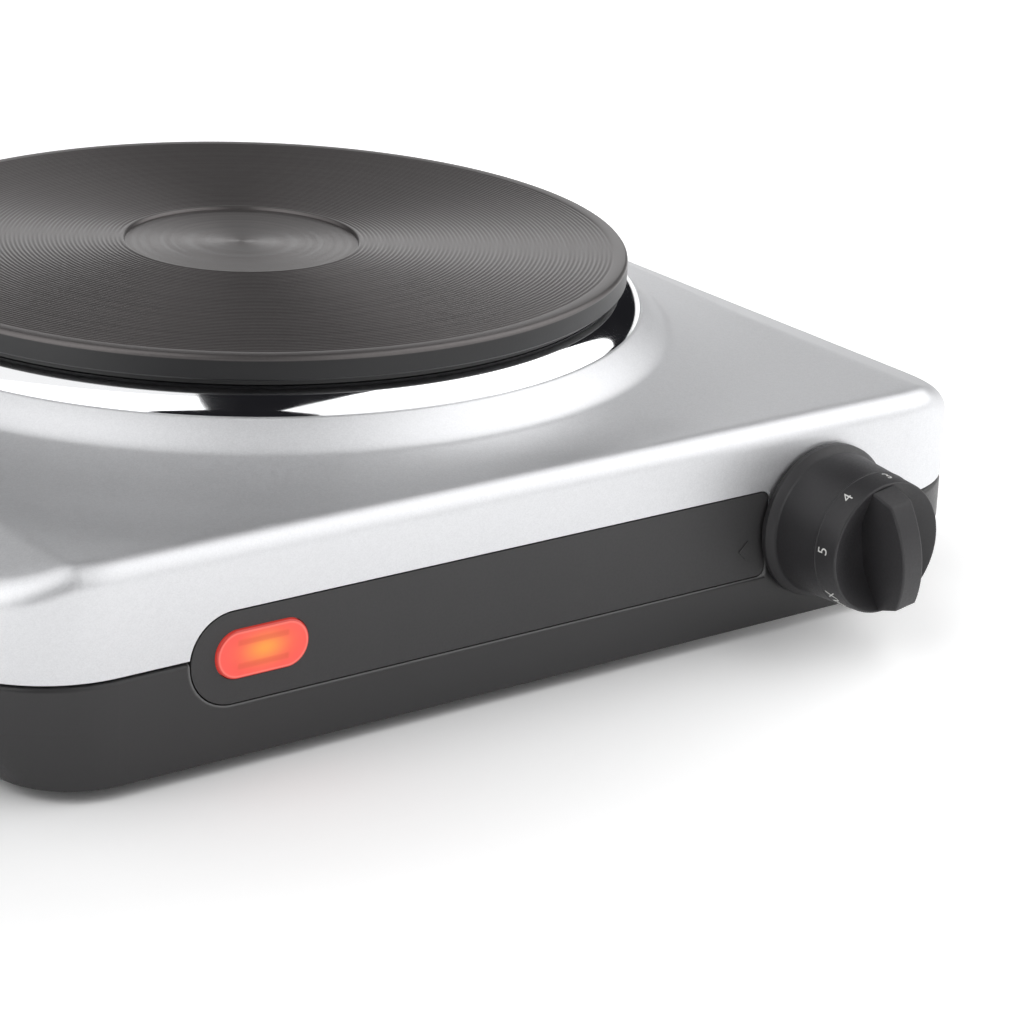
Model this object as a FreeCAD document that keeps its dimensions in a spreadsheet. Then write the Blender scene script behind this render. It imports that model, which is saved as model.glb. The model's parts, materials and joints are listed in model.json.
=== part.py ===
import FreeCAD, Part
import math
import os
import re
import Sketcher
from FreeCAD import Placement, Rotation, Vector

# Single electric hot plate: a cast iron plate on a pressed steel cover, over a moulded plastic base.
# Millimetres. X runs to the right, Y to the back and Z up. The origin lies on the table, under the
# middle of the outline. Lengths and places are written from the vertical axis of the cooking plate,
# and every piece is then moved back by axis_y, which centres the outline on the origin.

doc = FreeCAD.newDocument("hot_plate")

SIZES = [
    ("body_width", 270, "cover and base, left to right"),
    ("body_depth", 245, "cover and base, front to back"),
    ("corner_radius", 29, "upright corners of cover and base"),
    ("foot_standoff", 3, "table to underside of base"),
    ("foot_radius", 8, "rubber foot"),
    ("foot_stem_radius", 3, "stem of a foot, pressed through the floor"),
    ("foot_head_radius", 4.6, "bead that keeps a foot in its hole"),
    ("foot_head_height", 2.4, "height of that bead"),
    ("foot_inset_side", 31, "foot centre from the side of the body"),
    ("foot_inset_end", 19.5, "foot centre from the front or back of the body"),
    ("base_height", 23.3, "underside to top edge of the base"),
    ("base_wall", 2.5, "wall of the base"),
    ("base_floor", 2.5, "floor of the base"),
    ("base_rim_round", 1.2, "rounding of the top edge of the base"),
    ("bevel_height", 13, "height of the sloping lower side of the base"),
    ("bevel_inset", 10.3, "how far that slope runs in"),
    ("lip_height", 5, "upstand of the base inside the cover"),
    ("lip_clearance", 0.3, "upstand to cover sheet"),
    ("seam_gap", 0.6, "shadow gap between base and cover"),
    ("cover_sheet", 0.8, "steel sheet of the cover"),
    ("panel_height", 48.2, "underside of base to the top panel"),
    ("side_drop", 7, "fall of the side strips of the panel"),
    ("crease_clearance", 3.58, "foot of the collar to the crease of a side strip"),
    ("crease_round", 10, "bend radius along the crease"),
    ("cover_edge_round", 5, "rounding of the top edge of the cover"),
    ("edge_share", 0.6, "most that this rounding takes of the panel in front of the collar"),
    ("collar_reach", 4.3, "top of the collar beyond the plate"),
    ("collar_run", 10.8, "slope of the collar, measured outwards"),
    ("collar_height", 9.5, "collar above the panel"),
    ("collar_foot_round", 8, "cove at the foot of the collar"),
    ("cove_share", 0.3, "most that this cove takes of the panel in front of the collar"),
    ("opening_inset", 5.5, "edge of the cover opening inside the plate edge"),
    ("plate_radius", 92.5, "cooking plate"),
    ("plate_rim", 5.6, "edge of the cooking plate"),
    ("plate_depth", 19, "cooking face to lowest edge of the casting"),
    ("plate_web", 8, "iron above the coil chamber"),
    ("plate_step", 1.5, "step under the rim, which bears on the ring"),
    ("rim_overhang", 2.3, "rim beyond that step"),
    ("core_clearance", 3, "casting to the cover opening"),
    ("skirt_wall", 5, "outer wall of the coil chamber"),
    ("boss_radius", 16, "middle boss of the casting"),
    ("recess_radius", 28.7, "shallow recess in the cooking face"),
    ("recess_depth", 0.8, "depth of that recess"),
    ("plate_chamfer", 0.6, "broken edge of the cooking face"),
    ("ring_sheet", 0.8, "sheet of the trim ring"),
    ("ring_height", 5.3, "collar top to the plate step"),
    ("ring_land", 3.2, "flat of the ring under the plate step"),
    ("ring_setback", 0.6, "foot of the ring inside the collar edge"),
    ("ring_bulge", 1.3, "bow of the ring between its land and its foot"),
    ("coil_start", 26, "inner turn of the heating coil"),
    ("coil_margin", 11, "outer turn to the wall of the coil chamber"),
    ("coil_turns", 3, "turns of the heating coil"),
    ("coil_radius", 2.6, "outside of the wound wire"),
    ("coil_depth", 4.2, "coil centre below the chamber roof"),
    ("back_sheet", 1, "sheet that closes the coil chamber"),
    ("sheet_clearance", 0.3, "loose fit of sheet parts"),
    ("stud_radius", 4, "centre stud"),
    ("stud_grip", 9, "stud inside the boss"),
    ("stud_tail", 4, "stud below its nut"),
    ("spacer_radius", 7.5, "sleeve on the stud"),
    ("spacer_height", 4.5, "boss to heat shield"),
    ("shield_radius", 80, "heat shield"),
    ("shield_sheet", 0.6, "sheet of the heat shield"),
    ("shield_lip", 5, "turned-down edge of the heat shield"),
    ("bridge_width", 24, "clamp bridge"),
    ("bridge_sheet", 2, "strip of the clamp bridge"),
    ("bridge_toe", 6.5, "toe of the bridge under the cover flange"),
    ("washer_radius", 9, "stud washer"),
    ("washer_height", 1.5, "stud washer"),
    ("nut_flats", 13, "stud nut across flats"),
    ("nut_height", 6, "stud nut"),
    ("block_width", 15, "ceramic block under the plate"),
    ("block_height", 11, "ceramic block under the plate"),
    ("block_end", 7, "ceramic beyond the pins"),
    ("pin_radius", 2, "connecting pins of the coil"),
    ("pin_tail", 5, "pins below the ceramic block"),
    ("fascia_length", 153.3, "control strip"),
    ("fascia_height", 20.3, "control strip"),
    ("fascia_bottom", 12.3, "underside of base to the strip"),
    ("fascia_thickness", 2.2, "control strip"),
    ("fascia_gap", 0.35, "gap round the strip"),
    ("fascia_end_flat", 0.2, "short straight left between the round left corners"),
    ("fascia_corner", 2, "corners of the right end"),
    ("fascia_to_knob", 16.4, "end of the strip to the knob axis"),
    ("post_length", 9, "screw posts behind the strip"),
    ("post_radius", 3.4, "screw posts behind the strip"),
    ("post_rise", 5, "lower edge of the strip to its posts"),
    ("post_from_left", 45, "left end of the strip to its first post"),
    ("post_from_right", 30, "right end of the strip to its second post"),
    ("rib_width", 12, "ribs of the base that take the strip"),
    ("rib_wall", 2.5, "ribs of the base that take the strip"),
    ("lens_length", 22.5, "pilot lamp window"),
    ("lens_height", 10.7, "pilot lamp window"),
    ("lens_depth", 5, "pilot lamp window"),
    ("lens_proud", 0.6, "window beyond the strip"),
    ("lens_gap", 0.2, "gap round the window"),
    ("lens_end_flat", 0.2, "short straight left between its round corners"),
    ("lens_edge_round", 0.5, "front edge of the window"),
    ("lens_inset", 17.1, "left end of the strip to the window centre"),
    ("lens_lift", 0.6, "window centre above the middle of the strip"),
    ("holder_margin", 1.2, "lamp holder round the window"),
    ("holder_depth", 13.6, "lamp holder"),
    ("holder_wall", 1.2, "lamp holder"),
    ("sleeve_depth", 7, "sleeve of the strip round the lamp holder"),
    ("sleeve_wall", 1.2, "wall of that sleeve"),
    ("sleeve_clearance", 0.15, "sleeve to lamp holder"),
    ("neon_radius", 2.6, "glow lamp"),
    ("neon_length", 13, "glow lamp"),
    ("neon_lead_radius", 0.45, "wire ends of the glow lamp"),
    ("neon_lead_spacing", 7, "between its wire ends"),
    ("neon_lead_tail", 2, "wire ends behind the holder"),
    ("knob_from_side", 54.3, "knob axis from the right side"),
    ("knob_height", 23.15, "underside of base to the knob axis"),
    ("knob_gap", 0.8, "front wall to the knob flange"),
    ("knob_depth", 22, "flange back to the front rim"),
    ("knob_tilt", 9, "lean of the grip bar, in degrees"),
    ("knob_wall", 1.8, "wall of the knob drum"),
    ("flange_radius", 18.3, "flange of the knob"),
    ("flange_edge", 1.7, "straight edge of the flange"),
    ("flange_slope", 1.7, "sloping face of the flange"),
    ("drum_radius", 16.9, "knob drum at the flange"),
    ("rim_radius", 15.6, "knob drum at the front"),
    ("rim_width", 1.3, "front rim of the drum"),
    ("dish_depth", 4.2, "finger recess inside the rim"),
    ("grip_height", 9, "grip bar beyond the rim"),
    ("grip_bow", 3.3, "bow of the grip front"),
    ("grip_thickness", 6.2, "grip bar"),
    ("hub_radius", 5.4, "hub of the knob round the shaft"),
    ("shaft_radius", 3, "thermostat shaft"),
    ("shaft_flat", 1.3, "depth of the flat on the shaft"),
    ("shaft_in_knob", 15, "shaft inside the knob"),
    ("running_clearance", 0.05, "turning fits, on the radius"),
    ("wall_hole_radius", 7, "hole for the shaft at the seam"),
    ("clip_sheet", 0.6, "leaf spring in the knob"),
    ("clip_width", 3.4, "leaf spring in the knob"),
    ("clip_length", 10, "leaf spring in the knob"),
    ("bracket_setback", 10, "front wall to thermostat bracket"),
    ("bracket_sheet", 1.5, "thermostat bracket"),
    ("bracket_width", 28, "thermostat bracket"),
    ("bracket_rise", 14, "bracket above the shaft"),
    ("bracket_foot", 22, "foot of the bracket"),
    ("bracket_stand", 4, "bosses under the bracket"),
    ("bracket_hole_spread", 17, "between the bracket screws"),
    ("bracket_hole_back", 13, "bracket screws behind the bracket plate"),
    ("boss_wall", 2.3, "wall of screw bosses"),
    ("bush_radius", 5, "thermostat bush"),
    ("bush_flange_radius", 5.8, "flange of the bush"),
    ("bush_flange", 1.6, "flange of the bush"),
    ("bush_front", 4, "bush ahead of the bracket"),
    ("bush_back", 2, "bush behind its flange"),
    ("bush_nut_flats", 14, "nut of the bush"),
    ("bush_nut_height", 2, "nut of the bush"),
    ("shaft_collar_radius", 4.6, "collar of the shaft behind the bush"),
    ("shaft_collar", 1.6, "length of that collar"),
    ("shaft_end_play", 0.15, "shaft collar and circlip to the bush"),
    ("shaft_tail", 2.2, "shaft behind its collar"),
    ("circlip_radius", 4.8, "circlip on the shaft"),
    ("circlip_sheet", 0.8, "circlip on the shaft"),
    ("circlip_groove", 0.5, "depth of its groove"),
    ("screw_pin_radius", 1.5, "adjusting pin"),
    ("screw_pin_hold", 7, "adjusting pin inside the shaft"),
    ("screw_pin_room", 1.5, "free depth ahead of the adjusting pin"),
    ("screw_pin_reach", 3, "adjusting pin behind the shaft"),
    ("pin_touch", 0.35, "adjusting pin to the setting blade"),
    ("stack_drop", 10.5, "shaft axis down to the insulator stack"),
    ("stack_radius", 4.4, "ceramic insulators"),
    ("stack_middle", 3.6, "middle insulator"),
    ("stack_end", 3, "last insulator"),
    ("rivet_radius", 1.6, "rivet through the stack"),
    ("rivet_head_radius", 3, "rivet heads"),
    ("rivet_head", 1.3, "rivet heads"),
    ("blade_sheet", 0.4, "spring blades"),
    ("blade_width", 6, "spring blades"),
    ("blade_root", 4, "blade below the rivet"),
    ("blade_tip", 8.5, "blade above the shaft axis"),
    ("blade_play", 0.4, "setting blade between its insulators"),
    ("contact_radius", 1.5, "switch contacts"),
    ("contact_rise", 6.4, "contacts above the shaft axis"),
    ("contact_gap", 0.3, "between the contacts at rest"),
    ("moving_contact_height", 1.6, "contact on the setting blade"),
    ("tab_sheet", 0.6, "line tab"),
    ("tab_reach", 15, "tabs beside the rivet"),
    ("tab_height", 4, "line tab"),
    ("screw_radius", 1.5, "self-tapping screws"),
    ("screw_head_radius", 3, "self-tapping screws"),
    ("screw_head", 2, "self-tapping screws"),
    ("screw_length", 9, "short screws"),
    ("corner_post_radius", 5, "posts of the base for the cover screws"),
    ("corner_post_side", 20, "post centre from the side of the body"),
    ("corner_post_end", 37.5, "post centre from the front or back"),
    ("cover_screw_radius", 2, "cover screws"),
    ("cover_screw_head_radius", 3.8, "cover screws"),
    ("cover_screw_head", 2.4, "cover screws"),
    ("cover_screw_sink", 1, "cover screw heads above the underside"),
    ("cover_screw_tip", 4, "cover screws above their brackets"),
    ("angle_sheet", 1.5, "angle brackets in the cover"),
    ("angle_width", 16, "angle brackets in the cover"),
    ("angle_height", 8, "upright leg of the angle brackets"),
    ("angle_overlap", 7, "level leg beyond the screw"),
    ("gland_x", 60, "cord inlet from the plate axis"),
    ("gland_height", 13, "underside of base to the cord inlet"),
    ("gland_bore_radius", 3.7, "bore for the cord"),
    ("gland_body_radius", 6.4, "gland in the wall"),
    ("gland_flange_radius", 9, "gland outside the wall"),
    ("gland_flange", 4, "gland outside the wall"),
    ("gland_inner", 3, "gland inside the wall"),
    ("gland_barb", 1.6, "edge of the gland that catches behind the wall"),
    ("terminal_length", 34, "mains terminal block"),
    ("terminal_depth", 16, "mains terminal block"),
    ("terminal_height", 14, "mains terminal block"),
    ("terminal_from_wall", 19, "back wall to the terminal block"),
    ("terminal_pitch", 10, "between the three ways"),
    ("terminal_bore_radius", 2, "ways of the terminal block"),
    ("terminal_screw_radius", 1.6, "clamp screws"),
    ("peg_radius", 1.6, "pegs of the base that hold the block"),
    ("earth_inset", 20, "earth tag from the edge of the heat shield"),
    ("earth_sheet", 1, "earth tag"),
    ("earth_length", 16, "earth tag"),
    ("earth_width", 8, "earth tag"),
    ("wire_radius", 1.3, "insulated wires"),
    ("wire_lead", 14, "straight run of a wire at its end"),
    ("wire_rise", 9, "upright run of a wire below a coil pin"),
    ("wire_low", 6, "wires near the floor, above its top face"),
    ("wire_middle", 16, "wires half way up, above the floor"),
    ("wire_high", 27, "wires that cross above the others, above the floor"),
    ("vent_length", 46, "vent slots in the floor"),
    ("vent_width", 3, "vent slots in the floor"),
    ("vent_pitch", 9, "between vent slots"),
    ("vent_count", 5, "vent slots in the floor"),
]

PLACES = [
    ("half_width", "body_width / 2"),
    ("half_depth", "body_depth / 2"),
    ("base_z", "foot_standoff"),
    ("floor_z", "base_z + base_floor"),
    ("bevel_z", "base_z + bevel_height"),
    ("rim_z", "base_z + base_height"),
    ("lip_z", "rim_z + lip_height"),
    ("cover_z", "rim_z + seam_gap"),
    ("panel_z", "base_z + panel_height"),
    ("collar_z", "panel_z + collar_height"),
    ("seat_z", "collar_z + ring_height"),
    ("rim_under_z", "seat_z + plate_step"),
    ("plate_z", "rim_under_z + plate_rim"),
    ("skirt_z", "plate_z - plate_depth"),
    ("chamber_z", "plate_z - plate_web"),
    ("coil_z", "chamber_z - coil_depth"),
    ("shield_z", "skirt_z - spacer_height"),
    ("bridge_z", "shield_z - shield_sheet"),
    ("washer_z", "bridge_z - bridge_sheet"),
    ("nut_z", "washer_z - washer_height"),
    ("block_z", "skirt_z - block_height"),
    ("pin_z", "block_z - pin_tail"),
    ("step_radius", "plate_radius - rim_overhang"),
    ("opening_radius", "plate_radius - opening_inset"),
    ("core_radius", "opening_radius - core_clearance"),
    ("chamber_radius", "core_radius - skirt_wall"),
    ("earth_x", "shield_radius - earth_inset"),
    ("collar_radius", "plate_radius + collar_reach"),
    ("collar_foot", "collar_radius + collar_run"),
    ("collar_slope", "atan(collar_height / collar_run)"),
    ("end_strip", "half_depth - collar_foot"),
    ("edge_round", "min(cover_edge_round; end_strip * edge_share)"),
    ("cove_reach", "min(collar_foot_round * tan(collar_slope / 2); end_strip * cove_share)"),
    ("cove_round", "cove_reach / tan(collar_slope / 2)"),
    ("crease_x", "collar_foot + cove_reach + crease_clearance"),
    ("coil_end", "chamber_radius - coil_margin"),
    ("coil_pitch", "(coil_end - coil_start) / coil_turns"),
    ("knob_x", "half_width - knob_from_side"),
    ("knob_z", "base_z + knob_height"),
    ("knob_reach", "knob_gap + knob_depth + grip_height"),
    ("axis_y", "(knob_reach - gland_flange) / 2"),
    ("front_y", "-half_depth"),
    ("fascia_right", "knob_x - fascia_to_knob"),
    ("fascia_left", "fascia_right - fascia_length"),
    ("fascia_low", "base_z + fascia_bottom"),
    ("fascia_high", "fascia_low + fascia_height"),
    ("fascia_end_round", "(fascia_height - fascia_end_flat) / 2"),
    ("lens_x", "fascia_left + lens_inset"),
    ("lens_z", "(fascia_low + fascia_high) / 2 + lens_lift"),
    ("lens_end_round", "(lens_height - lens_end_flat) / 2"),
    ("holder_half_x", "lens_length / 2 + holder_margin"),
    ("holder_half_z", "lens_height / 2 + holder_margin"),
    ("holder_y", "lens_depth - lens_proud"),
    ("holder_back_y", "holder_y + holder_depth"),
    ("post_z", "fascia_low + post_rise"),
    ("post_back_y", "fascia_thickness + post_length"),
    ("bracket_back_y", "bracket_setback + bracket_sheet"),
    ("bracket_z", "floor_z + bracket_stand"),
    ("bush_front_y", "bracket_setback - bush_front"),
    ("bush_back_y", "bracket_back_y + bush_flange + bush_back"),
    ("shaft_collar_y", "bush_back_y + shaft_end_play"),
    ("shaft_back_y", "shaft_collar_y + shaft_collar + shaft_tail"),
    ("circlip_y", "bush_front_y - shaft_end_play"),
    ("pin_tip_y", "shaft_back_y + screw_pin_reach"),
    ("blade_y", "pin_tip_y + pin_touch"),
    ("blade_back_y", "blade_y + blade_sheet"),
    ("line_tab_y", "blade_y - blade_play - tab_sheet"),
    ("leaf_y", "blade_back_y + blade_play + stack_middle"),
    ("leaf_back_y", "leaf_y + blade_sheet"),
    ("stack_back_y", "leaf_back_y + stack_end"),
    ("stack_z", "knob_z - stack_drop"),
    ("contact_z", "knob_z + contact_rise"),
    ("angle_z", "lip_z + lip_clearance"),
    ("gland_z", "base_z + gland_height"),
    ("terminal_back_y", "half_depth - terminal_from_wall"),
    ("terminal_front_y", "terminal_back_y - terminal_depth"),
]


def fill_sheet(name, rows, write):
    sheet = doc.addObject("Spreadsheet::Sheet", name)
    for number, (alias, content, note) in enumerate(rows, start=1):
        sheet.set(f"A{number}", note)
        sheet.set(f"B{number}", write(content))
        sheet.setAlias(f"B{number}", alias)
    doc.recompute()
    return sheet


OWNER = {alias: "dim." for alias, value, note in SIZES}


def linked(text):
    """A rule written with plain size names, with each name tied to the sheet that holds it."""
    return re.sub(r"[a-z_]+", lambda word: OWNER.get(word.group(), "") + word.group(), text)


dim = fill_sheet("dim", SIZES, str)
at = fill_sheet("at", [(alias, rule, rule) for alias, rule in PLACES], lambda rule: "=" + linked(rule))
OWNER.update({alias: "at." for alias, rule in PLACES})


def mm(alias):
    """The present value of a size or place."""
    return float((dim if OWNER[alias] == "dim." else at).get(alias))


def bind(thing, prop, rule):
    thing.setExpression(prop, linked(rule))


# Sketch helpers: every corner, centre and radius is held by a rule.

def new_body(label, x="0", y="0", z="0"):
    body = doc.addObject("PartDesign::Body", label)
    body.Label = label
    bind(body, "Placement.Base.x", x)
    bind(body, "Placement.Base.y", f"axis_y + {y}")
    bind(body, "Placement.Base.z", z)
    return body


def new_sketch(body, plane, offset="0"):
    flat = body.newObject("Sketcher::SketchObject", f"{body.Name}_sketch")
    flat.AttachmentSupport = [(next(face for face in body.Origin.OriginFeatures if face.Role == plane), "")]
    flat.MapMode = "FlatFace"
    bind(flat, "AttachmentOffset.Base.z", offset)
    return flat


def hold(flat, kind, geometry, rule, start):
    """One constraint of a sketch, driven by a rule."""
    number = flat.addConstraint(Sketcher.Constraint(kind, *geometry, start))
    name = f"rule_{number}"
    flat.renameConstraint(number, name)
    bind(flat, f"Constraints.{name}", rule)


def hold_point(flat, geometry, point, place, start):
    hold(flat, "DistanceX", (-1, 1, geometry, point), place[0], start.x)
    hold(flat, "DistanceY", (-1, 1, geometry, point), place[1], start.y)


def add_polygon(flat, corners, bent=None):
    """A closed outline. bent names the sides, by number, that are arcs curving inwards, with their radius."""
    first = flat.GeometryCount
    count = len(corners)
    turn = 2 * math.pi / count
    start = [Vector(50 * math.cos(turn * i), 50 * math.sin(turn * i), 0) for i in range(count)]
    for i in range(count):
        ends = start[i], start[(i + 1) % count]
        if bent and i in bent:
            flat.addGeometry(Part.Arc(ends[0], (ends[0] + ends[1]) * 0.4, ends[1]), False)
        else:
            flat.addGeometry(Part.LineSegment(*ends), False)
    begin = [2 if bent and i in bent else 1 for i in range(count)]
    for i in range(count):
        after = (i + 1) % count
        corner = (first + i, 3 - begin[i], first + after, begin[after])
        flat.addConstraint(Sketcher.Constraint("Coincident", *corner))
    for i, corner in enumerate(corners):
        hold_point(flat, first + i, begin[i], corner, start[i])
    for side, radius in (bent or {}).items():
        hold(flat, "Radius", (first + side,), radius, 30)


def add_box(flat, left, right, low, high):
    add_polygon(flat, [(left, low), (right, low), (right, high), (left, high)])


def add_circle(flat, across, up, radius):
    number = flat.addGeometry(Part.Circle(Vector(5, 5, 0), Vector(0, 0, 1), 3), False)
    hold_point(flat, number, 3, (across, up), Vector(5, 5, 0))
    hold(flat, "Radius", (number,), radius, 3)


def add_rounded(flat, left, right, low, high, radius, left_radius=None):
    """A rectangle with round corners: four lines and four quarter arcs, tangent in turn."""
    first = flat.GeometryCount
    half_x, half_y, start = 60, 40, 20
    centres = [(half_x, -half_y), (half_x, half_y), (-half_x, half_y), (-half_x, -half_y)]
    for number, (x, y) in enumerate(centres):
        begin = (number - 1) * math.pi / 2
        before = Vector(*centres[number - 1], 0) + start * Vector(math.cos(begin), math.sin(begin), 0)
        after = Vector(x, y, 0) + start * Vector(math.cos(begin), math.sin(begin), 0)
        flat.addGeometry(Part.LineSegment(before, after), False)
        circle = Part.Circle(Vector(x, y, 0), Vector(0, 0, 1), start)
        flat.addGeometry(Part.ArcOfCircle(circle, begin, begin + math.pi / 2), False)
    for number in range(8):
        flat.addConstraint(Sketcher.Constraint("Tangent", first + number, 2, first + (number + 1) % 8, 1))
    places = [(right, low), (right, high), (left, high), (left, low)]
    for number, (x, y) in enumerate(centres):
        arc = first + 2 * number + 1
        bend = left_radius if left_radius and x < 0 else radius
        across = f"{places[number][0]} {'-' if x > 0 else '+'} ({bend})"
        up = f"{places[number][1]} {'-' if y > 0 else '+'} ({bend})"
        hold_point(flat, arc, 3, (across, up), Vector(x, y, 0))
        hold(flat, "Radius", (arc,), bend, start)


def add_fascia_outline(flat, gap):
    """Outline of the control strip: a round left end and small corners on the right."""
    add_rounded(flat, f"fascia_left - {gap}", f"fascia_right + {gap}", f"fascia_low - {gap}",
                f"fascia_high + {gap}", f"fascia_corner + {gap}", f"fascia_end_round + {gap}")


# Feature helpers

def add_feature(body, kind, profile, length=None, reverse=False):
    feature = body.newObject(f"PartDesign::{kind}", f"{body.Name}_{kind}")
    feature.Profile = profile
    if length:
        bind(feature, "Length", length)
    if kind in ("Revolution", "Groove"):
        feature.ReferenceAxis = (profile, ["V_Axis"])
        feature.Angle = 360
    feature.Reversed = reverse
    body.Tip = feature
    return feature


def pad(body, profile, length, reverse=False):
    return add_feature(body, "Pad", profile, length, reverse)


def pocket(body, profile, length, reverse=False):
    return add_feature(body, "Pocket", profile, length, reverse)


def loft(body, kind, low, high):
    feature = body.newObject(f"PartDesign::{kind}", f"{body.Name}_{kind}")
    feature.Profile = low
    feature.Sections = [high]
    feature.Ruled = True
    body.Tip = feature
    return feature


def dress(body, kind, prop, size, wanted):
    """A fillet or chamfer on the edges of the body that a test picks out."""
    doc.recompute()
    base = body.Tip
    chosen = [f"Edge{i}" for i, edge in enumerate(base.Shape.Edges, start=1) if wanted(edge)]
    feature = body.newObject(f"PartDesign::{kind}", f"{body.Name}_{kind}")
    feature.Base = (base, chosen)
    bind(feature, prop, size)
    body.Tip = feature
    return feature


def fillet(body, radius, wanted):
    return dress(body, "Fillet", "Radius", radius, wanted)


def near(value, target):
    return abs(value - target) < 0.01


def runs_along(edge, axis):
    """True for a straight edge parallel to one axis: 0 is X, 1 is Y and 2 is Z."""
    if len(edge.Vertexes) < 2:
        return False
    step = edge.Vertexes[1].Point - edge.Vertexes[0].Point
    return near(edge.Length, abs(step[axis]))


def turned(label, profile, x="0", y="0", z="0", plane="XZ_Plane"):
    """A lathe piece: (radius, height) corners turned about the upright axis, or about Y on the XY plane."""
    body = new_body(label, x, y, z)
    flat = new_sketch(body, plane)
    add_polygon(flat, profile)
    add_feature(body, "Revolution", flat)
    return body


def sleeve(label, inner, outer, low, high, x="0", y="0", z="0", plane="XZ_Plane"):
    return turned(label, [(inner, low), (outer, low), (outer, high), (inner, high)], x, y, z, plane)


def hexagon(label, flats, bore, low, length, plane, x="0", y="0", z="0"):
    body = new_body(label, x, y, z)
    flat = new_sketch(body, plane, low)
    reach = f"{flats} / 2 / cos(30)"
    add_polygon(flat, [(f"{reach} * cos({60 * i})", f"{reach} * sin({60 * i})") for i in range(6)])
    add_circle(flat, "0", "0", bore)
    pad(body, flat, length)
    return body


def solid(label, shape):
    """A piece shaped by code from the sheet's values, then placed."""
    piece = doc.addObject("Part::Feature", label)
    piece.Label = label
    piece.Shape = shape
    piece.Placement = Placement(Vector(0, mm("axis_y"), 0), Rotation()).multiply(shape.Placement)
    return piece


def screw_shape(radius, head_radius, head, length):
    """A pan-head screw with a cross recess, head down at z = 0 and tip at the top."""
    slot = 0.35 * head_radius
    depth = 0.5 * head
    shape = Part.makeCylinder(head_radius, head).fuse(Part.makeCylinder(radius, length, Vector(0, 0, head)))
    for along, across in ((head_radius, slot), (slot, head_radius)):
        corner = Vector(-along / 2, -across / 2, 0)
        shape = shape.cut(Part.makeBox(along, across, depth, corner))
    return shape.removeSplitter()


def copies(label, shape, places):
    return solid(label, Part.makeCompound([shape.translated(place) for place in places]))


def four_corners(x, y, z):
    return [Vector(side * x, end * y, z) for side in (-1, 1) for end in (-1, 1)]


def tube(label, points, radius):
    """A round wire along straight runs joined by tangent arcs as large as the runs allow."""
    edges = []
    start = points[0]
    for before, corner, after in zip(points, points[1:], points[2:]):
        inward = (before - corner).normalize()
        outward = (after - corner).normalize()
        half_turn = (math.pi - inward.getAngle(outward)) / 2
        reach = 0.45 * min((before - corner).Length, (after - corner).Length)
        bend = reach / math.tan(half_turn)
        middle = (inward + outward).normalize()
        top = corner + middle * (bend / math.cos(half_turn) - bend)
        enter = corner + inward * reach
        leave = corner + outward * reach
        edges.append(Part.LineSegment(start, enter).toShape())
        edges.append(Part.Arc(enter, top, leave).toShape())
        start = leave
    edges.append(Part.LineSegment(start, points[-1]).toShape())
    path = Part.Wire(edges)
    section = Part.Wire(Part.makeCircle(radius, points[0], points[1] - points[0]))
    return solid(label, path.makePipeShell([section], True, True))


# Base pan: moulded plastic tub. Its lower sides slope in, its wall stops at the seam, and a thin
# upstand goes on inside the cover.

base = new_body("base_pan")


def base_outline(level, inset_x, inset, radius):
    flat = new_sketch(base, "XY_Plane", level)
    add_rounded(flat, f"-half_width + {inset_x} + {inset}", f"half_width - {inset_x} - {inset}",
                f"-half_depth + {inset}", f"half_depth - {inset}", radius)
    return flat


floor_slope = "bevel_inset * (1 - base_floor / bevel_height)"
loft(base, "AdditiveLoft",
     base_outline("base_z", "bevel_inset", "0", "corner_radius - bevel_inset"),
     base_outline("bevel_z", "0", "0", "corner_radius"))
pad(base, base_outline("bevel_z", "0", "0", "corner_radius"), "base_height - bevel_height")
fillet(base, "base_rim_round", lambda edge: near(edge.BoundBox.ZMin, mm("rim_z")))
loft(base, "SubtractiveLoft",
     base_outline("floor_z", floor_slope, "base_wall", f"corner_radius - {floor_slope} - base_wall"),
     base_outline("bevel_z", "0", "base_wall", "corner_radius - base_wall"))
pocket(base, base_outline("bevel_z", "0", "base_wall", "corner_radius - base_wall"),
       "base_height - bevel_height", reverse=True)

lip = new_sketch(base, "XY_Plane", "rim_z - base_rim_round")
for inset in ("(cover_sheet + lip_clearance)", "base_wall"):
    add_rounded(lip, f"-half_width + {inset}", f"half_width - {inset}",
                f"-half_depth + {inset}", f"half_depth - {inset}", f"corner_radius - {inset}")
pad(base, lip, "lip_height + base_rim_round")

# Posts, bosses, ribs and pegs that rise from the floor of the base.

floor_studs = new_sketch(base, "XY_Plane", "base_z + base_floor / 2")
for side in ("-", ""):
    for end in ("-", ""):
        add_circle(floor_studs, f"{side}(half_width - corner_post_side)",
                   f"{end}(half_depth - corner_post_end)", "corner_post_radius")
pad(base, floor_studs, "angle_z - base_z - base_floor / 2")

bracket_bosses = new_sketch(base, "XY_Plane", "base_z + base_floor / 2")
bracket_spots = [(f"knob_x {sign} bracket_hole_spread / 2", "front_y + bracket_back_y + bracket_hole_back")
                 for sign in "-+"]
for x, y in bracket_spots:
    add_circle(bracket_bosses, x, y, "screw_radius + boss_wall")
pad(base, bracket_bosses, "bracket_stand + base_floor / 2")

pegs = new_sketch(base, "XY_Plane", "base_z + base_floor / 2")
peg_y = "terminal_front_y + terminal_depth / 2"
for sign in "-+":
    add_circle(pegs, f"gland_x {sign} terminal_pitch / 2", peg_y, "peg_radius")
pad(base, pegs, "terminal_height / 2")

ribs = new_sketch(base, "XZ_Plane", "half_depth - post_back_y - rib_wall")
post_spots = ["fascia_left + post_from_left", "fascia_right - post_from_right"]
for x in post_spots:
    add_box(ribs, f"{x} - rib_width / 2", f"{x} + rib_width / 2", "base_z + base_floor / 2",
            "post_z + post_radius + rib_wall")
pad(base, ribs, "rib_wall")

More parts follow.
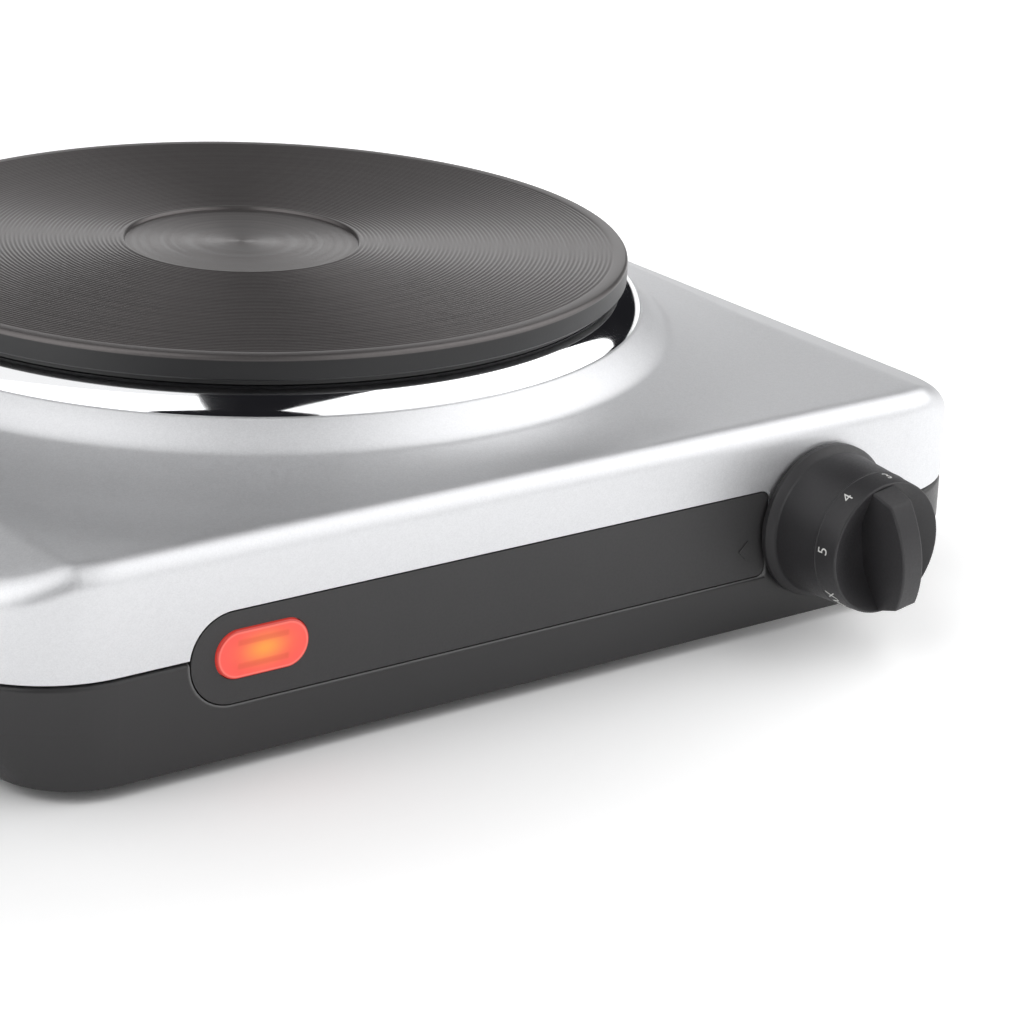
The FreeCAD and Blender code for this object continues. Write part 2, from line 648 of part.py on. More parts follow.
# Openings of the base: fascia notch, shaft hole, screw and foot holes, cord inlet and vents.

notch = new_sketch(base, "XZ_Plane", "half_depth")
add_fascia_outline(notch, "fascia_gap")
pocket(base, notch, "base_wall * 1.2")

shaft_way = new_sketch(base, "XZ_Plane", "half_depth")
add_circle(shaft_way, "knob_x", "knob_z", "wall_hole_radius")
pocket(base, shaft_way, "base_wall * 1.2")

inlet = new_sketch(base, "XZ_Plane", "-half_depth + base_wall * 1.2")
add_circle(inlet, "gland_x", "gland_z", "gland_body_radius")
pocket(base, inlet, "base_wall * 1.4")

rib_holes = new_sketch(base, "XZ_Plane", "half_depth - post_back_y - rib_wall")
for x in post_spots:
    add_circle(rib_holes, x, "post_z", "screw_radius")
pocket(base, rib_holes, "rib_wall", reverse=True)

boss_holes = new_sketch(base, "XY_Plane", "bracket_z")
for x, y in bracket_spots:
    add_circle(boss_holes, x, y, "screw_radius")
pocket(base, boss_holes, "bracket_stand")

floor_holes = new_sketch(base, "XY_Plane", "angle_z")
foot_holes = new_sketch(base, "XY_Plane", "floor_z")
head_wells = new_sketch(base, "XY_Plane", "base_z + cover_screw_sink + cover_screw_head")
for side in ("-", ""):
    for end in ("-", ""):
        post = (f"{side}(half_width - corner_post_side)", f"{end}(half_depth - corner_post_end)")
        add_circle(floor_holes, *post, "cover_screw_radius")
        add_circle(head_wells, *post, "cover_screw_head_radius")
        add_circle(foot_holes, f"{side}(half_width - foot_inset_side)",
                   f"{end}(half_depth - foot_inset_end)", "foot_stem_radius")
pocket(base, floor_holes, "angle_z - base_z")
pocket(base, head_wells, "cover_screw_sink + cover_screw_head")
pocket(base, foot_holes, "base_floor")

vents = new_sketch(base, "XY_Plane", "floor_z")
for number in range(int(mm("vent_count"))):
    along = f"vent_pitch * ({number} - (vent_count - 1) / 2)"
    add_rounded(vents, "-vent_length / 2", "vent_length / 2", f"{along} - vent_width / 2",
                f"{along} + vent_width / 2", "vent_width * 0.49")
pocket(base, vents, "base_floor")

# Rubber feet: disc, stem through the floor and a bead above it.

foot = turned("foot_master", [
    ("0", "0"), ("foot_radius - 0.8", "0"), ("foot_radius", "0.8"), ("foot_radius", "foot_standoff"),
    ("foot_stem_radius", "foot_standoff"), ("foot_stem_radius", "floor_z"), ("foot_head_radius", "floor_z"),
    ("foot_stem_radius", "floor_z + foot_head_height"), ("0", "floor_z + foot_head_height")])
doc.recompute()
foot_shape = foot.Shape.translated(Vector(0, -mm("axis_y"), 0))
copies("rubber_feet", foot_shape, four_corners(mm("half_width") - mm("foot_inset_side"),
                                               mm("half_depth") - mm("foot_inset_end"), 0))

# Top cover: one pressed steel sheet. The panel falls away at both sides, and a collar round the
# opening carries the plate.

cover = new_body("top_cover")
front_view = new_sketch(cover, "XZ_Plane", "-half_depth")
add_polygon(front_view, [
    ("-half_width", "cover_z"), ("half_width", "cover_z"), ("half_width", "panel_z - side_drop"),
    ("crease_x", "panel_z"), ("-crease_x", "panel_z"),
    ("-half_width", "panel_z - side_drop")])
pad(cover, front_view, "body_depth")
fillet(cover, "crease_round", lambda edge: runs_along(edge, 1) and near(edge.BoundBox.ZMin, mm("panel_z")))
fillet(cover, "corner_radius", lambda edge: runs_along(edge, 2))
fillet(cover, "edge_round", lambda edge: edge.BoundBox.ZMin > mm("cover_z") + 1
       and not runs_along(edge, 2)
       and (near(abs(edge.CenterOfMass.x), mm("half_width"))
            or near(abs(edge.CenterOfMass.y), mm("half_depth"))
            or (abs(edge.CenterOfMass.x) > mm("half_width") - mm("corner_radius")
                and abs(edge.CenterOfMass.y) > mm("half_depth") - mm("corner_radius"))))
collar = new_sketch(cover, "XZ_Plane")
cove_low = ("collar_foot + cove_reach", "panel_z")
cove_high = ("collar_foot - cove_reach * cos(collar_slope)", "panel_z + cove_reach * sin(collar_slope)")
add_polygon(collar, [
    ("0", "panel_z - collar_height / 2"), ("collar_foot + cove_reach", "panel_z - collar_height / 2"),
    cove_low, cove_high, ("collar_radius", "collar_z"), ("0", "collar_z")], bent={2: "cove_round"})
add_feature(cover, "Revolution", collar)
doc.recompute()
lowest = cover.Tip
shell = cover.newObject("PartDesign::Thickness", "cover_shell")
shell.Base = (lowest, [f"Face{i}" for i, face in enumerate(lowest.Shape.Faces, start=1)
                       if near(face.BoundBox.ZMax, mm("cover_z"))])
bind(shell, "Value", "cover_sheet")
shell.Reversed = True
cover.Tip = shell
opening = new_sketch(cover, "XY_Plane", "collar_z")
add_circle(opening, "0", "0", "opening_radius")
pocket(cover, opening, "cover_sheet * 1.5")
cover_notch = new_sketch(cover, "XZ_Plane", "half_depth")
add_fascia_outline(cover_notch, "fascia_gap")
pocket(cover, cover_notch, "cover_sheet * 1.5")
cover_way = new_sketch(cover, "XZ_Plane", "half_depth")
add_circle(cover_way, "knob_x", "knob_z", "wall_hole_radius")
pocket(cover, cover_way, "cover_sheet * 1.5")

# Angle brackets welded inside the side walls of the cover, and the long screws that reach them
# from below through the posts of the base.

angle_out = mm("half_width") - mm("cover_sheet")
angle_in = mm("half_width") - mm("corner_post_side") - mm("angle_overlap")
angle_low = Part.makeBox(angle_out - angle_in, mm("angle_width"), mm("angle_sheet"),
                         Vector(angle_in, -mm("angle_width") / 2, mm("angle_z")))
angle_up = Part.makeBox(mm("angle_sheet"), mm("angle_width"), mm("angle_height"),
                        Vector(angle_out - mm("angle_sheet"), -mm("angle_width") / 2, mm("angle_z")))
angle_hole = Part.makeCylinder(mm("cover_screw_radius"), mm("angle_sheet"),
                               Vector(mm("half_width") - mm("corner_post_side"), 0, mm("angle_z")))
angle_shape = angle_low.fuse(angle_up).cut(angle_hole).removeSplitter()
angle_rows = [angle_shape, angle_shape.mirror(Vector(0, 0, 0), Vector(1, 0, 0))]
post_y = mm("half_depth") - mm("corner_post_end")
solid("cover_brackets", Part.makeCompound([row.translated(Vector(0, end * post_y, 0))
                                           for row in angle_rows for end in (-1, 1)]))
cover_screw_z = mm("base_z") + mm("cover_screw_sink")
cover_screw = screw_shape(mm("cover_screw_radius"), mm("cover_screw_head_radius"), mm("cover_screw_head"),
                          mm("angle_z") + mm("cover_screw_tip") - cover_screw_z - mm("cover_screw_head"))
post_x = mm("half_width") - mm("corner_post_side")
copies("cover_screws", cover_screw, four_corners(post_x, post_y, cover_screw_z))

# Control fascia: black strip let flush into cover and base, with a window, a sleeve for the lamp
# holder and two posts for its screws.

fascia = new_body("control_fascia")
strip = new_sketch(fascia, "XZ_Plane", "half_depth - fascia_thickness")
add_fascia_outline(strip, "0")
pad(fascia, strip, "fascia_thickness")
posts = new_sketch(fascia, "XZ_Plane", "half_depth - post_back_y")
for x in post_spots:
    add_circle(posts, x, "post_z", "post_radius")
pad(fascia, posts, "post_length")
sleeve_wall = new_sketch(fascia, "XZ_Plane", "half_depth - fascia_thickness - sleeve_depth")
for spread in ("sleeve_clearance", "sleeve_clearance + sleeve_wall"):
    add_box(sleeve_wall, f"lens_x - holder_half_x - ({spread})", f"lens_x + holder_half_x + {spread}",
            f"lens_z - holder_half_z - ({spread})", f"lens_z + holder_half_z + {spread}")
pad(fascia, sleeve_wall, "sleeve_depth")
window = new_sketch(fascia, "XZ_Plane", "half_depth")
add_rounded(window, "lens_x - lens_length / 2 - lens_gap", "lens_x + lens_length / 2 + lens_gap",
            "lens_z - lens_height / 2 - lens_gap", "lens_z + lens_height / 2 + lens_gap",
            "lens_end_round + lens_gap")
pocket(fascia, window, "fascia_thickness")
post_holes = new_sketch(fascia, "XZ_Plane", "half_depth - post_back_y")
for x in post_spots:
    add_circle(post_holes, x, "post_z", "screw_radius")
pocket(fascia, post_holes, "post_length", reverse=True)

short_screw = screw_shape(mm("screw_radius"), mm("screw_head_radius"), mm("screw_head"), mm("screw_length"))
fascia_screw = short_screw.rotated(Vector(0, 0, 0), Vector(1, 0, 0), 90)
rib_back_y = mm("front_y") + mm("post_back_y") + mm("rib_wall")
copies("fascia_screws", fascia_screw, [
    Vector(x, rib_back_y + mm("screw_head"), mm("post_z"))
    for x in (mm("fascia_left") + mm("post_from_left"), mm("fascia_right") - mm("post_from_right"))])

# Pilot lamp: red window, holder behind it and glow lamp with two wire ends.

lens = new_body("lamp_lens")
pane = new_sketch(lens, "XZ_Plane", "half_depth - holder_y")
add_rounded(pane, "lens_x - lens_length / 2", "lens_x + lens_length / 2",
            "lens_z - lens_height / 2", "lens_z + lens_height / 2", "lens_end_round")
pad(lens, pane, "lens_depth")
fillet(lens, "lens_edge_round", lambda edge: near(edge.BoundBox.YMax, mm("front_y") - mm("lens_proud")))

holder = new_body("lamp_holder")
holder_block = new_sketch(holder, "XZ_Plane", "half_depth - holder_back_y")
add_box(holder_block, "lens_x - holder_half_x", "lens_x + holder_half_x", "lens_z - holder_half_z",
        "lens_z + holder_half_z")
pad(holder, holder_block, "holder_depth")
holder_hollow = new_sketch(holder, "XZ_Plane", "half_depth - holder_y")
holder_inner_x = "holder_half_x - holder_wall * 1.5"
holder_inner_z = "holder_half_z - holder_wall * 1.5"
add_box(holder_hollow, f"lens_x - ({holder_inner_x})", f"lens_x + {holder_inner_x}",
        f"lens_z - ({holder_inner_z})", f"lens_z + {holder_inner_z}")
pocket(holder, holder_hollow, "holder_depth - holder_wall")
lead_holes = new_sketch(holder, "XZ_Plane", "half_depth - holder_back_y")
for sign in "-+":
    add_circle(lead_holes, f"lens_x {sign} neon_lead_spacing / 2", "lens_z",
               "neon_lead_radius + running_clearance")
pocket(holder, lead_holes, "holder_wall", reverse=True)

neon_y = mm("front_y") + mm("holder_y") + mm("holder_depth") / 2
neon_half = mm("neon_length") / 2 - mm("neon_radius")
neon_middle = Vector(mm("lens_x"), neon_y, mm("lens_z"))
neon_end = Vector(neon_half, 0, 0)
neon_shape = Part.makeCylinder(mm("neon_radius"), 2 * neon_half, neon_middle - neon_end, Vector(1, 0, 0))
lead_length = mm("front_y") + mm("holder_back_y") + mm("neon_lead_tail") - neon_y
for side in (-1, 1):
    neon_shape = neon_shape.fuse(Part.makeSphere(mm("neon_radius"), neon_middle + neon_end * side))
    lead_start = neon_middle + Vector(side * mm("neon_lead_spacing") / 2, 0, 0)
    neon_lead = Part.makeCylinder(mm("neon_lead_radius"), lead_length, lead_start, Vector(0, 1, 0))
    neon_shape = neon_shape.fuse(neon_lead)
solid("neon_lamp", neon_shape.removeSplitter())

# Cooking plate: grey iron casting with a turned face, a coil chamber underneath and a middle boss.

plate = turned("hotplate", [
    ("0", "plate_z - recess_depth"), ("recess_radius", "plate_z - recess_depth"),
    ("recess_radius + recess_depth", "plate_z"), ("plate_radius - plate_chamfer", "plate_z"),
    ("plate_radius", "plate_z - plate_chamfer"), ("plate_radius", "rim_under_z"),
    ("step_radius", "rim_under_z"), ("step_radius", "seat_z"), ("core_radius", "seat_z"),
    ("core_radius", "skirt_z"), ("chamber_radius", "skirt_z"), ("chamber_radius", "chamber_z"),
    ("boss_radius", "chamber_z"), ("boss_radius", "skirt_z"), ("stud_radius", "skirt_z"),
    ("stud_radius", "skirt_z + stud_grip"), ("0", "skirt_z + stud_grip")])

# Heating coil: wound wire laid as a flat spiral of half turns, packed in ceramic filler.

coil_edges = []
coil_centre = 0.0
for half_turn in range(2 * int(mm("coil_turns"))):
    coil_bend = mm("coil_start") + half_turn * mm("coil_pitch") / 2
    side = 1 if half_turn % 2 == 0 else -1
    coil_points = [Vector(-coil_bend * side * math.sin(turn), coil_centre + coil_bend * side * math.cos(turn),
                          mm("coil_z")) for turn in (0, math.pi / 2, math.pi)]
    coil_edges.append(Part.Arc(*coil_points).toShape())
    coil_centre = coil_points[2].y + side * (coil_bend + mm("coil_pitch") / 2)
coil_mouth = Vector(0, mm("coil_start"), mm("coil_z"))
coil_section = Part.Wire(Part.makeCircle(mm("coil_radius"), coil_mouth, Vector(1, 0, 0)))
coil_shape = Part.Wire(coil_edges).makePipeShell([coil_section], True, True)
solid("heating_coil", coil_shape)

pin_spots = [Vector(0, mm("coil_start"), 0), Vector(0, mm("coil_end"), 0)]
pin_top = mm("coil_z") - mm("coil_radius")
pin_shape = Part.makeCylinder(mm("pin_radius"), pin_top - mm("pin_z"), Vector(0, 0, mm("pin_z")))
copies("element_pins", pin_shape, pin_spots)
pin_holes = Part.makeCompound([pin_shape.translated(spot) for spot in pin_spots])

filler_low = mm("skirt_z") + mm("back_sheet")
filler = Part.makeCylinder(mm("chamber_radius"), mm("chamber_z") - filler_low, Vector(0, 0, filler_low))
filler = filler.cut(Part.makeCylinder(mm("boss_radius"), mm("plate_depth"), Vector(0, 0, mm("skirt_z"))))
solid("insulation_filler", filler.cut(coil_shape).cut(pin_holes))

back = sleeve("plate_back_cover", "boss_radius + sheet_clearance", "chamber_radius - sheet_clearance",
              "skirt_z", "skirt_z + back_sheet")
back_holes = new_sketch(back, "XY_Plane", "skirt_z + back_sheet")
add_circle(back_holes, "0", "coil_start", "pin_radius")
add_circle(back_holes, "0", "coil_end", "pin_radius")
pocket(back, back_holes, "back_sheet")

ceramic = new_body("element_terminal_block")
ceramic_plan = new_sketch(ceramic, "XY_Plane", "block_z")
add_box(ceramic_plan, "-block_width / 2", "block_width / 2", "coil_start - block_end", "coil_end + block_end")
add_circle(ceramic_plan, "0", "coil_start", "pin_radius")
add_circle(ceramic_plan, "0", "coil_end", "pin_radius")
pad(ceramic, ceramic_plan, "block_height")

# Trim ring: chromed sheet, clamped flat under the plate step and bowed down to the collar.

ring_in = mm("core_radius") + mm("core_clearance") / 2
ring_seat = ring_in + mm("ring_land")
ring_foot = mm("collar_radius") - mm("ring_setback")
chord = Vector(ring_foot - ring_seat, 0, -mm("ring_height"))
outward = Vector(mm("ring_height"), 0, ring_foot - ring_seat).normalize()


def ring_arc(shift):
    """Bow of the ring at one face of its sheet, from the land to the foot."""
    start = Vector(ring_seat, 0, mm("seat_z") - shift)
    end = Vector(ring_foot - shift, 0, mm("collar_z"))
    middle = (start + end) / 2 + outward * mm("ring_bulge")
    return start, middle, end


outer_start, outer_middle, outer_end = ring_arc(0)
inner_start, inner_middle, inner_end = ring_arc(mm("ring_sheet"))
land_top = Vector(ring_in, 0, mm("seat_z"))
land_low = Vector(ring_in, 0, mm("seat_z") - mm("ring_sheet"))
ring_profile = Part.Wire([
    Part.LineSegment(land_top, outer_start).toShape(),
    Part.Arc(outer_start, outer_middle, outer_end).toShape(),
    Part.LineSegment(outer_end, inner_end).toShape(),
    Part.Arc(inner_end, inner_middle, inner_start).toShape(),
    Part.LineSegment(inner_start, land_low).toShape(),
    Part.LineSegment(land_low, land_top).toShape()])
solid("trim_ring", Part.Face(ring_profile).revolve(Vector(0, 0, 0), Vector(0, 0, 1), 360))

# Clamping: the stud pulls the plate down on the ring, against a bridge under the collar flange.

stud_low = "nut_z - nut_height - stud_tail"
turned("centre_stud", [("0", stud_low), ("stud_radius", stud_low),
                       ("stud_radius", "skirt_z + stud_grip"), ("0", "skirt_z + stud_grip")])
sleeve("stud_spacer", "stud_radius + sheet_clearance", "spacer_radius", "shield_z", "skirt_z")
sleeve("stud_washer", "stud_radius + sheet_clearance", "washer_radius", "nut_z", "washer_z")
hexagon("stud_nut", "nut_flats", "stud_radius", "nut_z - nut_height", "nut_height", "XY_Plane")

shield = turned("heat_shield", [
    ("stud_radius + sheet_clearance", "bridge_z"), ("shield_radius - shield_sheet", "bridge_z"),
    ("shield_radius - shield_sheet", "shield_z - shield_lip"), ("shield_radius", "shield_z - shield_lip"),
    ("shield_radius", "shield_z"), ("stud_radius + sheet_clearance", "shield_z")])
shield_cut = new_sketch(shield, "XY_Plane", "shield_z")
add_box(shield_cut, "-block_width / 2 - sheet_clearance", "block_width / 2 + sheet_clearance",
        "coil_start - block_end - sheet_clearance", "coil_end + block_end + sheet_clearance")
pocket(shield, shield_cut, "shield_sheet")
bridge_ways = new_sketch(shield, "YZ_Plane", "-shield_radius - shield_lip")
add_box(bridge_ways, "-bridge_width / 2 - sheet_clearance", "bridge_width / 2 + sheet_clearance",
        "shield_z - 2 * shield_lip", "bridge_z")
pocket(shield, bridge_ways, "2 * shield_radius + 2 * shield_lip", reverse=True)

bridge = new_body("clamp_bridge")
bridge_side = new_sketch(bridge, "XZ_Plane", "-bridge_width / 2")
toe_z = "collar_z - cover_sheet"
riser = "opening_radius - sheet_clearance"
half_bridge = [(f"{riser} - bridge_sheet", "bridge_z"), (f"{riser} - bridge_sheet", toe_z),
               (f"{riser} + bridge_toe", toe_z), (f"{riser} + bridge_toe", f"{toe_z} - bridge_sheet"),
               (riser, f"{toe_z} - bridge_sheet"), (riser, "washer_z")]
add_polygon(bridge_side, half_bridge + [(f"-({x})", z) for x, z in reversed(half_bridge)])
pad(bridge, bridge_side, "bridge_width")
bridge_holes = new_sketch(bridge, "XY_Plane", "bridge_z")
add_circle(bridge_holes, "0", "0", "stud_radius + sheet_clearance")
add_circle(bridge_holes, "earth_x", "0", "screw_radius")
pocket(bridge, bridge_holes, "bridge_sheet")

earth = new_body("earth_tag", "earth_x")
earth_plan = new_sketch(earth, "XY_Plane", "washer_z - earth_sheet")
add_box(earth_plan, "-earth_width / 2", "earth_width / 2", "-earth_width / 2",
        "earth_length - earth_width / 2")
add_circle(earth_plan, "0", "0", "screw_radius")
pad(earth, earth_plan, "earth_sheet")
earth_head_z = mm("washer_z") - mm("earth_sheet") - mm("screw_head")
earth_screw = screw_shape(mm("screw_radius"), mm("screw_head_radius"), mm("screw_head"),
                          mm("earth_sheet") + mm("bridge_sheet"))
solid("earth_screw", earth_screw.translated(Vector(mm("earth_x"), 0, earth_head_z)))

# Thermostat: bracket on two bosses, with bush, nut and shaft on the knob axis.

bracket = new_body("thermostat_bracket", "knob_x", "front_y")
angle_view = new_sketch(bracket, "YZ_Plane", "-bracket_width / 2")
add_polygon(angle_view, [
    ("bracket_setback", "bracket_z"), ("bracket_back_y + bracket_foot", "bracket_z"),
    ("bracket_back_y + bracket_foot", "bracket_z + bracket_sheet"),
    ("bracket_back_y", "bracket_z + bracket_sheet"),
    ("bracket_back_y", "knob_z + bracket_rise"), ("bracket_setback", "knob_z + bracket_rise")])
pad(bracket, angle_view, "bracket_width")
bracket_holes = new_sketch(bracket, "XZ_Plane", "-bracket_back_y")
add_circle(bracket_holes, "0", "knob_z", "bush_radius")
add_circle(bracket_holes, "0", "stack_z", "rivet_radius")
pocket(bracket, bracket_holes, "bracket_sheet", reverse=True)
foot_ways = new_sketch(bracket, "XY_Plane", "bracket_z + bracket_sheet")
for sign in "-+":
    add_circle(foot_ways, f"{sign}bracket_hole_spread / 2" if sign == "-" else "bracket_hole_spread / 2",
               "bracket_back_y + bracket_hole_back", "screw_radius")
pocket(bracket, foot_ways, "bracket_sheet")

bracket_screw = screw_shape(mm("screw_radius"), mm("screw_head_radius"), mm("screw_head"),
                            mm("bracket_sheet") + mm("bracket_stand"))
bracket_screw = bracket_screw.rotated(Vector(0, 0, 0), Vector(1, 0, 0), 180)
screw_y = mm("front_y") + mm("bracket_back_y") + mm("bracket_hole_back")
screw_z = mm("bracket_z") + mm("bracket_sheet") + mm("screw_head")
copies("thermostat_screws", bracket_screw, [
    Vector(mm("knob_x") + side * mm("bracket_hole_spread") / 2, screw_y, screw_z) for side in (-1, 1)])


def on_knob_axis(label, profile):
    """A lathe piece about the knob axis: (radius, distance behind the front wall) corners."""
    return turned(label, profile, "knob_x", "front_y", "knob_z", "XY_Plane")


bush_bore = "shaft_radius + running_clearance"
on_knob_axis("thermostat_bush", [
    (bush_bore, "bush_front_y"), ("bush_radius", "bush_front_y"), ("bush_radius", "bracket_back_y"),
    ("bush_flange_radius", "bracket_back_y"), ("bush_flange_radius", "bracket_back_y + bush_flange"),
    ("bush_radius", "bracket_back_y + bush_flange"), ("bush_radius", "bush_back_y"),
    (bush_bore, "bush_back_y")])
hexagon("bush_nut", "bush_nut_flats", "bush_radius", "-bracket_setback", "bush_nut_height", "XZ_Plane",
        "knob_x", "front_y", "knob_z")

groove_radius = "shaft_radius - circlip_groove"
pin_bore = "screw_pin_radius + running_clearance"
shaft_front_y = "-knob_gap - shaft_in_knob"
shaft = on_knob_axis("thermostat_shaft", [
    ("0", shaft_front_y), ("shaft_radius", shaft_front_y), ("shaft_radius", "circlip_y - circlip_sheet"),
    (groove_radius, "circlip_y - circlip_sheet"), (groove_radius, "circlip_y"), ("shaft_radius", "circlip_y"),
    ("shaft_radius", "shaft_collar_y"), ("shaft_collar_radius", "shaft_collar_y"),
    ("shaft_collar_radius", "shaft_collar_y + shaft_collar"),
    ("shaft_radius", "shaft_collar_y + shaft_collar"),
    ("shaft_radius", "shaft_back_y"), (pin_bore, "shaft_back_y"),
    (pin_bore, "shaft_back_y - screw_pin_hold - screw_pin_room"),
    ("0", "shaft_back_y - screw_pin_hold - screw_pin_room")])
shaft_cut = new_sketch(shaft, "XZ_Plane", "knob_gap + shaft_in_knob")
add_box(shaft_cut, "-shaft_radius", "shaft_radius", "shaft_radius - shaft_flat", "2 * shaft_radius")
pocket(shaft, shaft_cut, "shaft_in_knob")
sleeve("shaft_circlip", groove_radius, "circlip_radius", "circlip_y - circlip_sheet", "circlip_y",
       "knob_x", "front_y", "knob_z", "XY_Plane")

pin_start_y = "shaft_back_y - screw_pin_hold"
on_knob_axis("adjusting_pin", [
    ("0", pin_start_y), ("screw_pin_radius", pin_start_y),
    ("screw_pin_radius", "pin_tip_y - screw_pin_radius / 2"),
    ("screw_pin_radius / 2", "pin_tip_y"), ("0", "pin_tip_y")])

# Switch: ceramic insulators on a rivet hold a line tab, the setting blade and the contact leaf.

axis_vector = Vector(mm("knob_x"), mm("front_y"), mm("stack_z"))


def insulator(low, high):
    ring = Part.makeCylinder(mm("stack_radius"), high - low, axis_vector + Vector(0, low, 0), Vector(0, 1, 0))
    bore = Part.makeCylinder(mm("rivet_radius"), high - low, axis_vector + Vector(0, low, 0), Vector(0, 1, 0))
    return ring.cut(bore)


solid("stack_insulators", Part.makeCompound([
    insulator(mm("bracket_back_y"), mm("line_tab_y")),
    insulator(mm("blade_back_y") + mm("blade_play"), mm("leaf_y")),
    insulator(mm("leaf_back_y"), mm("stack_back_y"))]))
turned("stack_rivet", [
    ("0", "bracket_setback - rivet_head"), ("rivet_head_radius", "bracket_setback - rivet_head"),
    ("rivet_head_radius", "bracket_setback"), ("rivet_radius", "bracket_setback"),
    ("rivet_radius", "stack_back_y"),
    ("rivet_head_radius", "stack_back_y"), ("rivet_head_radius", "stack_back_y + rivet_head"),
    ("0", "stack_back_y + rivet_head")], "knob_x", "front_y", "stack_z", "XY_Plane")


def strip_piece(label, left, right, low, high, front, sheet, hole):
    """A flat strip across the stack, with its rivet hole."""
    body = new_body(label, "knob_x", "front_y", "stack_z")
    flat = new_sketch(body, "XZ_Plane", f"-({front}) - {sheet}")
    add_box(flat, left, right, low, high)
    add_circle(flat, "0", "0", hole)
    pad(body, flat, sheet)
    return body


strip_piece("line_tab", "-tab_reach", "blade_width / 2", "-tab_height / 2", "tab_height / 2",
            "line_tab_y", "tab_sheet", "rivet_radius")
strip_piece("setting_blade", "-blade_width / 2", "blade_width / 2", "-blade_root", "stack_drop + blade_tip",
            "blade_y", "blade_sheet", "rivet_radius + blade_play")
leaf = strip_piece("contact_leaf", "-blade_width / 2", "blade_width / 2", "-blade_root",
                   "stack_drop + blade_tip", "leaf_y", "blade_sheet", "rivet_radius")
leaf_tab = new_sketch(leaf, "XZ_Plane", "-leaf_y - blade_sheet")
add_box(leaf_tab, "blade_width * 0.4", "tab_reach", "-blade_sheet * 2", "blade_sheet * 2")
pad(leaf, leaf_tab, "blade_sheet")
turned("moving_contact", [("0", "blade_back_y"), ("contact_radius", "blade_back_y"),
                          ("contact_radius", "blade_back_y + moving_contact_height"),
                          ("0", "blade_back_y + moving_contact_height")],
       "knob_x", "front_y", "contact_z", "XY_Plane")
fixed_front = "blade_back_y + moving_contact_height + contact_gap"
turned("fixed_contact", [("0", fixed_front), ("contact_radius", fixed_front), ("contact_radius", "leaf_y"),
                         ("0", "leaf_y")], "knob_x", "front_y", "contact_z", "XY_Plane")

# Control knob: hollow moulded drum with a flange, a dished front and a grip bar across it.

rim_y = "-knob_gap - knob_depth"
knob = on_knob_axis("control_knob", [
    ("0", "-knob_gap"), ("flange_radius", "-knob_gap"), ("flange_radius", "-knob_gap - flange_edge"),
    ("drum_radius", "-knob_gap - flange_edge - flange_slope"), ("rim_radius", rim_y),
    ("rim_radius - rim_width", rim_y), ("grip_thickness", f"{rim_y} + dish_depth"),
    ("0", f"{rim_y} + dish_depth")])
knob.Placement.Rotation = Rotation(Vector(0, 1, 0), -mm("knob_tilt"))
hollow = new_sketch(knob, "XY_Plane")
add_box(hollow, "hub_radius", "drum_radius - knob_wall", "-knob_gap",
        f"{rim_y} + dish_depth + knob_wall")
add_feature(knob, "Groove", hollow)
grip = new_sketch(knob, "YZ_Plane", "-grip_thickness / 2")
tip_y = f"{rim_y} - grip_height"
add_polygon(grip, [
    (f"{rim_y} + dish_depth + knob_wall / 2", "-rim_radius + rim_width"),
    (rim_y, "-rim_radius + rim_width / 2"),
    (f"{tip_y} + grip_bow", "-rim_radius + rim_width * 2"), (f"{tip_y} + grip_bow / 4", "-rim_radius / 2"),
    (tip_y, "0"), (f"{tip_y} + grip_bow / 4", "rim_radius / 2"),
    (f"{tip_y} + grip_bow", "rim_radius - rim_width * 2"), (rim_y, "rim_radius - rim_width / 2"),
    (f"{rim_y} + dish_depth + knob_wall / 2", "rim_radius - rim_width")])
pad(knob, grip, "grip_thickness")
hub_bore = new_sketch(knob, "XZ_Plane", "knob_gap")
add_circle(hub_bore, "0", "0", "shaft_radius")
pocket(knob, hub_bore, "shaft_in_knob", reverse=True)

clip = new_body("knob_spring_clip", "knob_x", "front_y", "knob_z")
clip_plan = new_sketch(clip, "XY_Plane", "shaft_radius - shaft_flat")
add_box(clip_plan, "-clip_width / 2", "clip_width / 2", shaft_front_y, f"{shaft_front_y} + clip_length")
pad(clip, clip_plan, "clip_sheet")

# Mains side: inlet gland with an open bore, terminal block on two pegs, and its clamp screws.

turned("cord_gland", [
    ("gland_bore_radius", "-base_wall - gland_inner"),
    ("gland_body_radius + gland_barb", "-base_wall - gland_inner"),
    ("gland_body_radius + gland_barb", "-base_wall"), ("gland_body_radius", "-base_wall"),
    ("gland_body_radius", "0"),
    ("gland_flange_radius", "0"), ("gland_flange_radius", "gland_flange / 2"),
    ("gland_body_radius", "gland_flange"), ("gland_bore_radius", "gland_flange")],
    "gland_x", "half_depth", "gland_z", "XY_Plane")

terminal = new_body("mains_terminal_block", "gland_x")
terminal_plan = new_sketch(terminal, "XY_Plane", "floor_z")
add_box(terminal_plan, "-terminal_length / 2", "terminal_length / 2", "terminal_front_y", "terminal_back_y")
pad(terminal, terminal_plan, "terminal_height")
ways = new_sketch(terminal, "XZ_Plane", "-terminal_back_y")
clamp_holes = new_sketch(terminal, "XY_Plane", "floor_z + terminal_height")
peg_holes = new_sketch(terminal, "XY_Plane", "floor_z")
for number in (-1, 0, 1):
    add_circle(ways, f"{number} * terminal_pitch", "floor_z + terminal_height / 2", "terminal_bore_radius")
    add_circle(clamp_holes, f"{number} * terminal_pitch", "terminal_front_y + terminal_depth / 4",
               "terminal_screw_radius")
for number in (-1, 1):
    add_circle(peg_holes, f"{number} * terminal_pitch / 2", peg_y, "peg_radius + running_clearance")
pocket(terminal, ways, "terminal_depth", reverse=True)
pocket(terminal, clamp_holes, "terminal_height / 2 - terminal_bore_radius")
pocket(terminal, peg_holes, "terminal_height / 2", reverse=True)
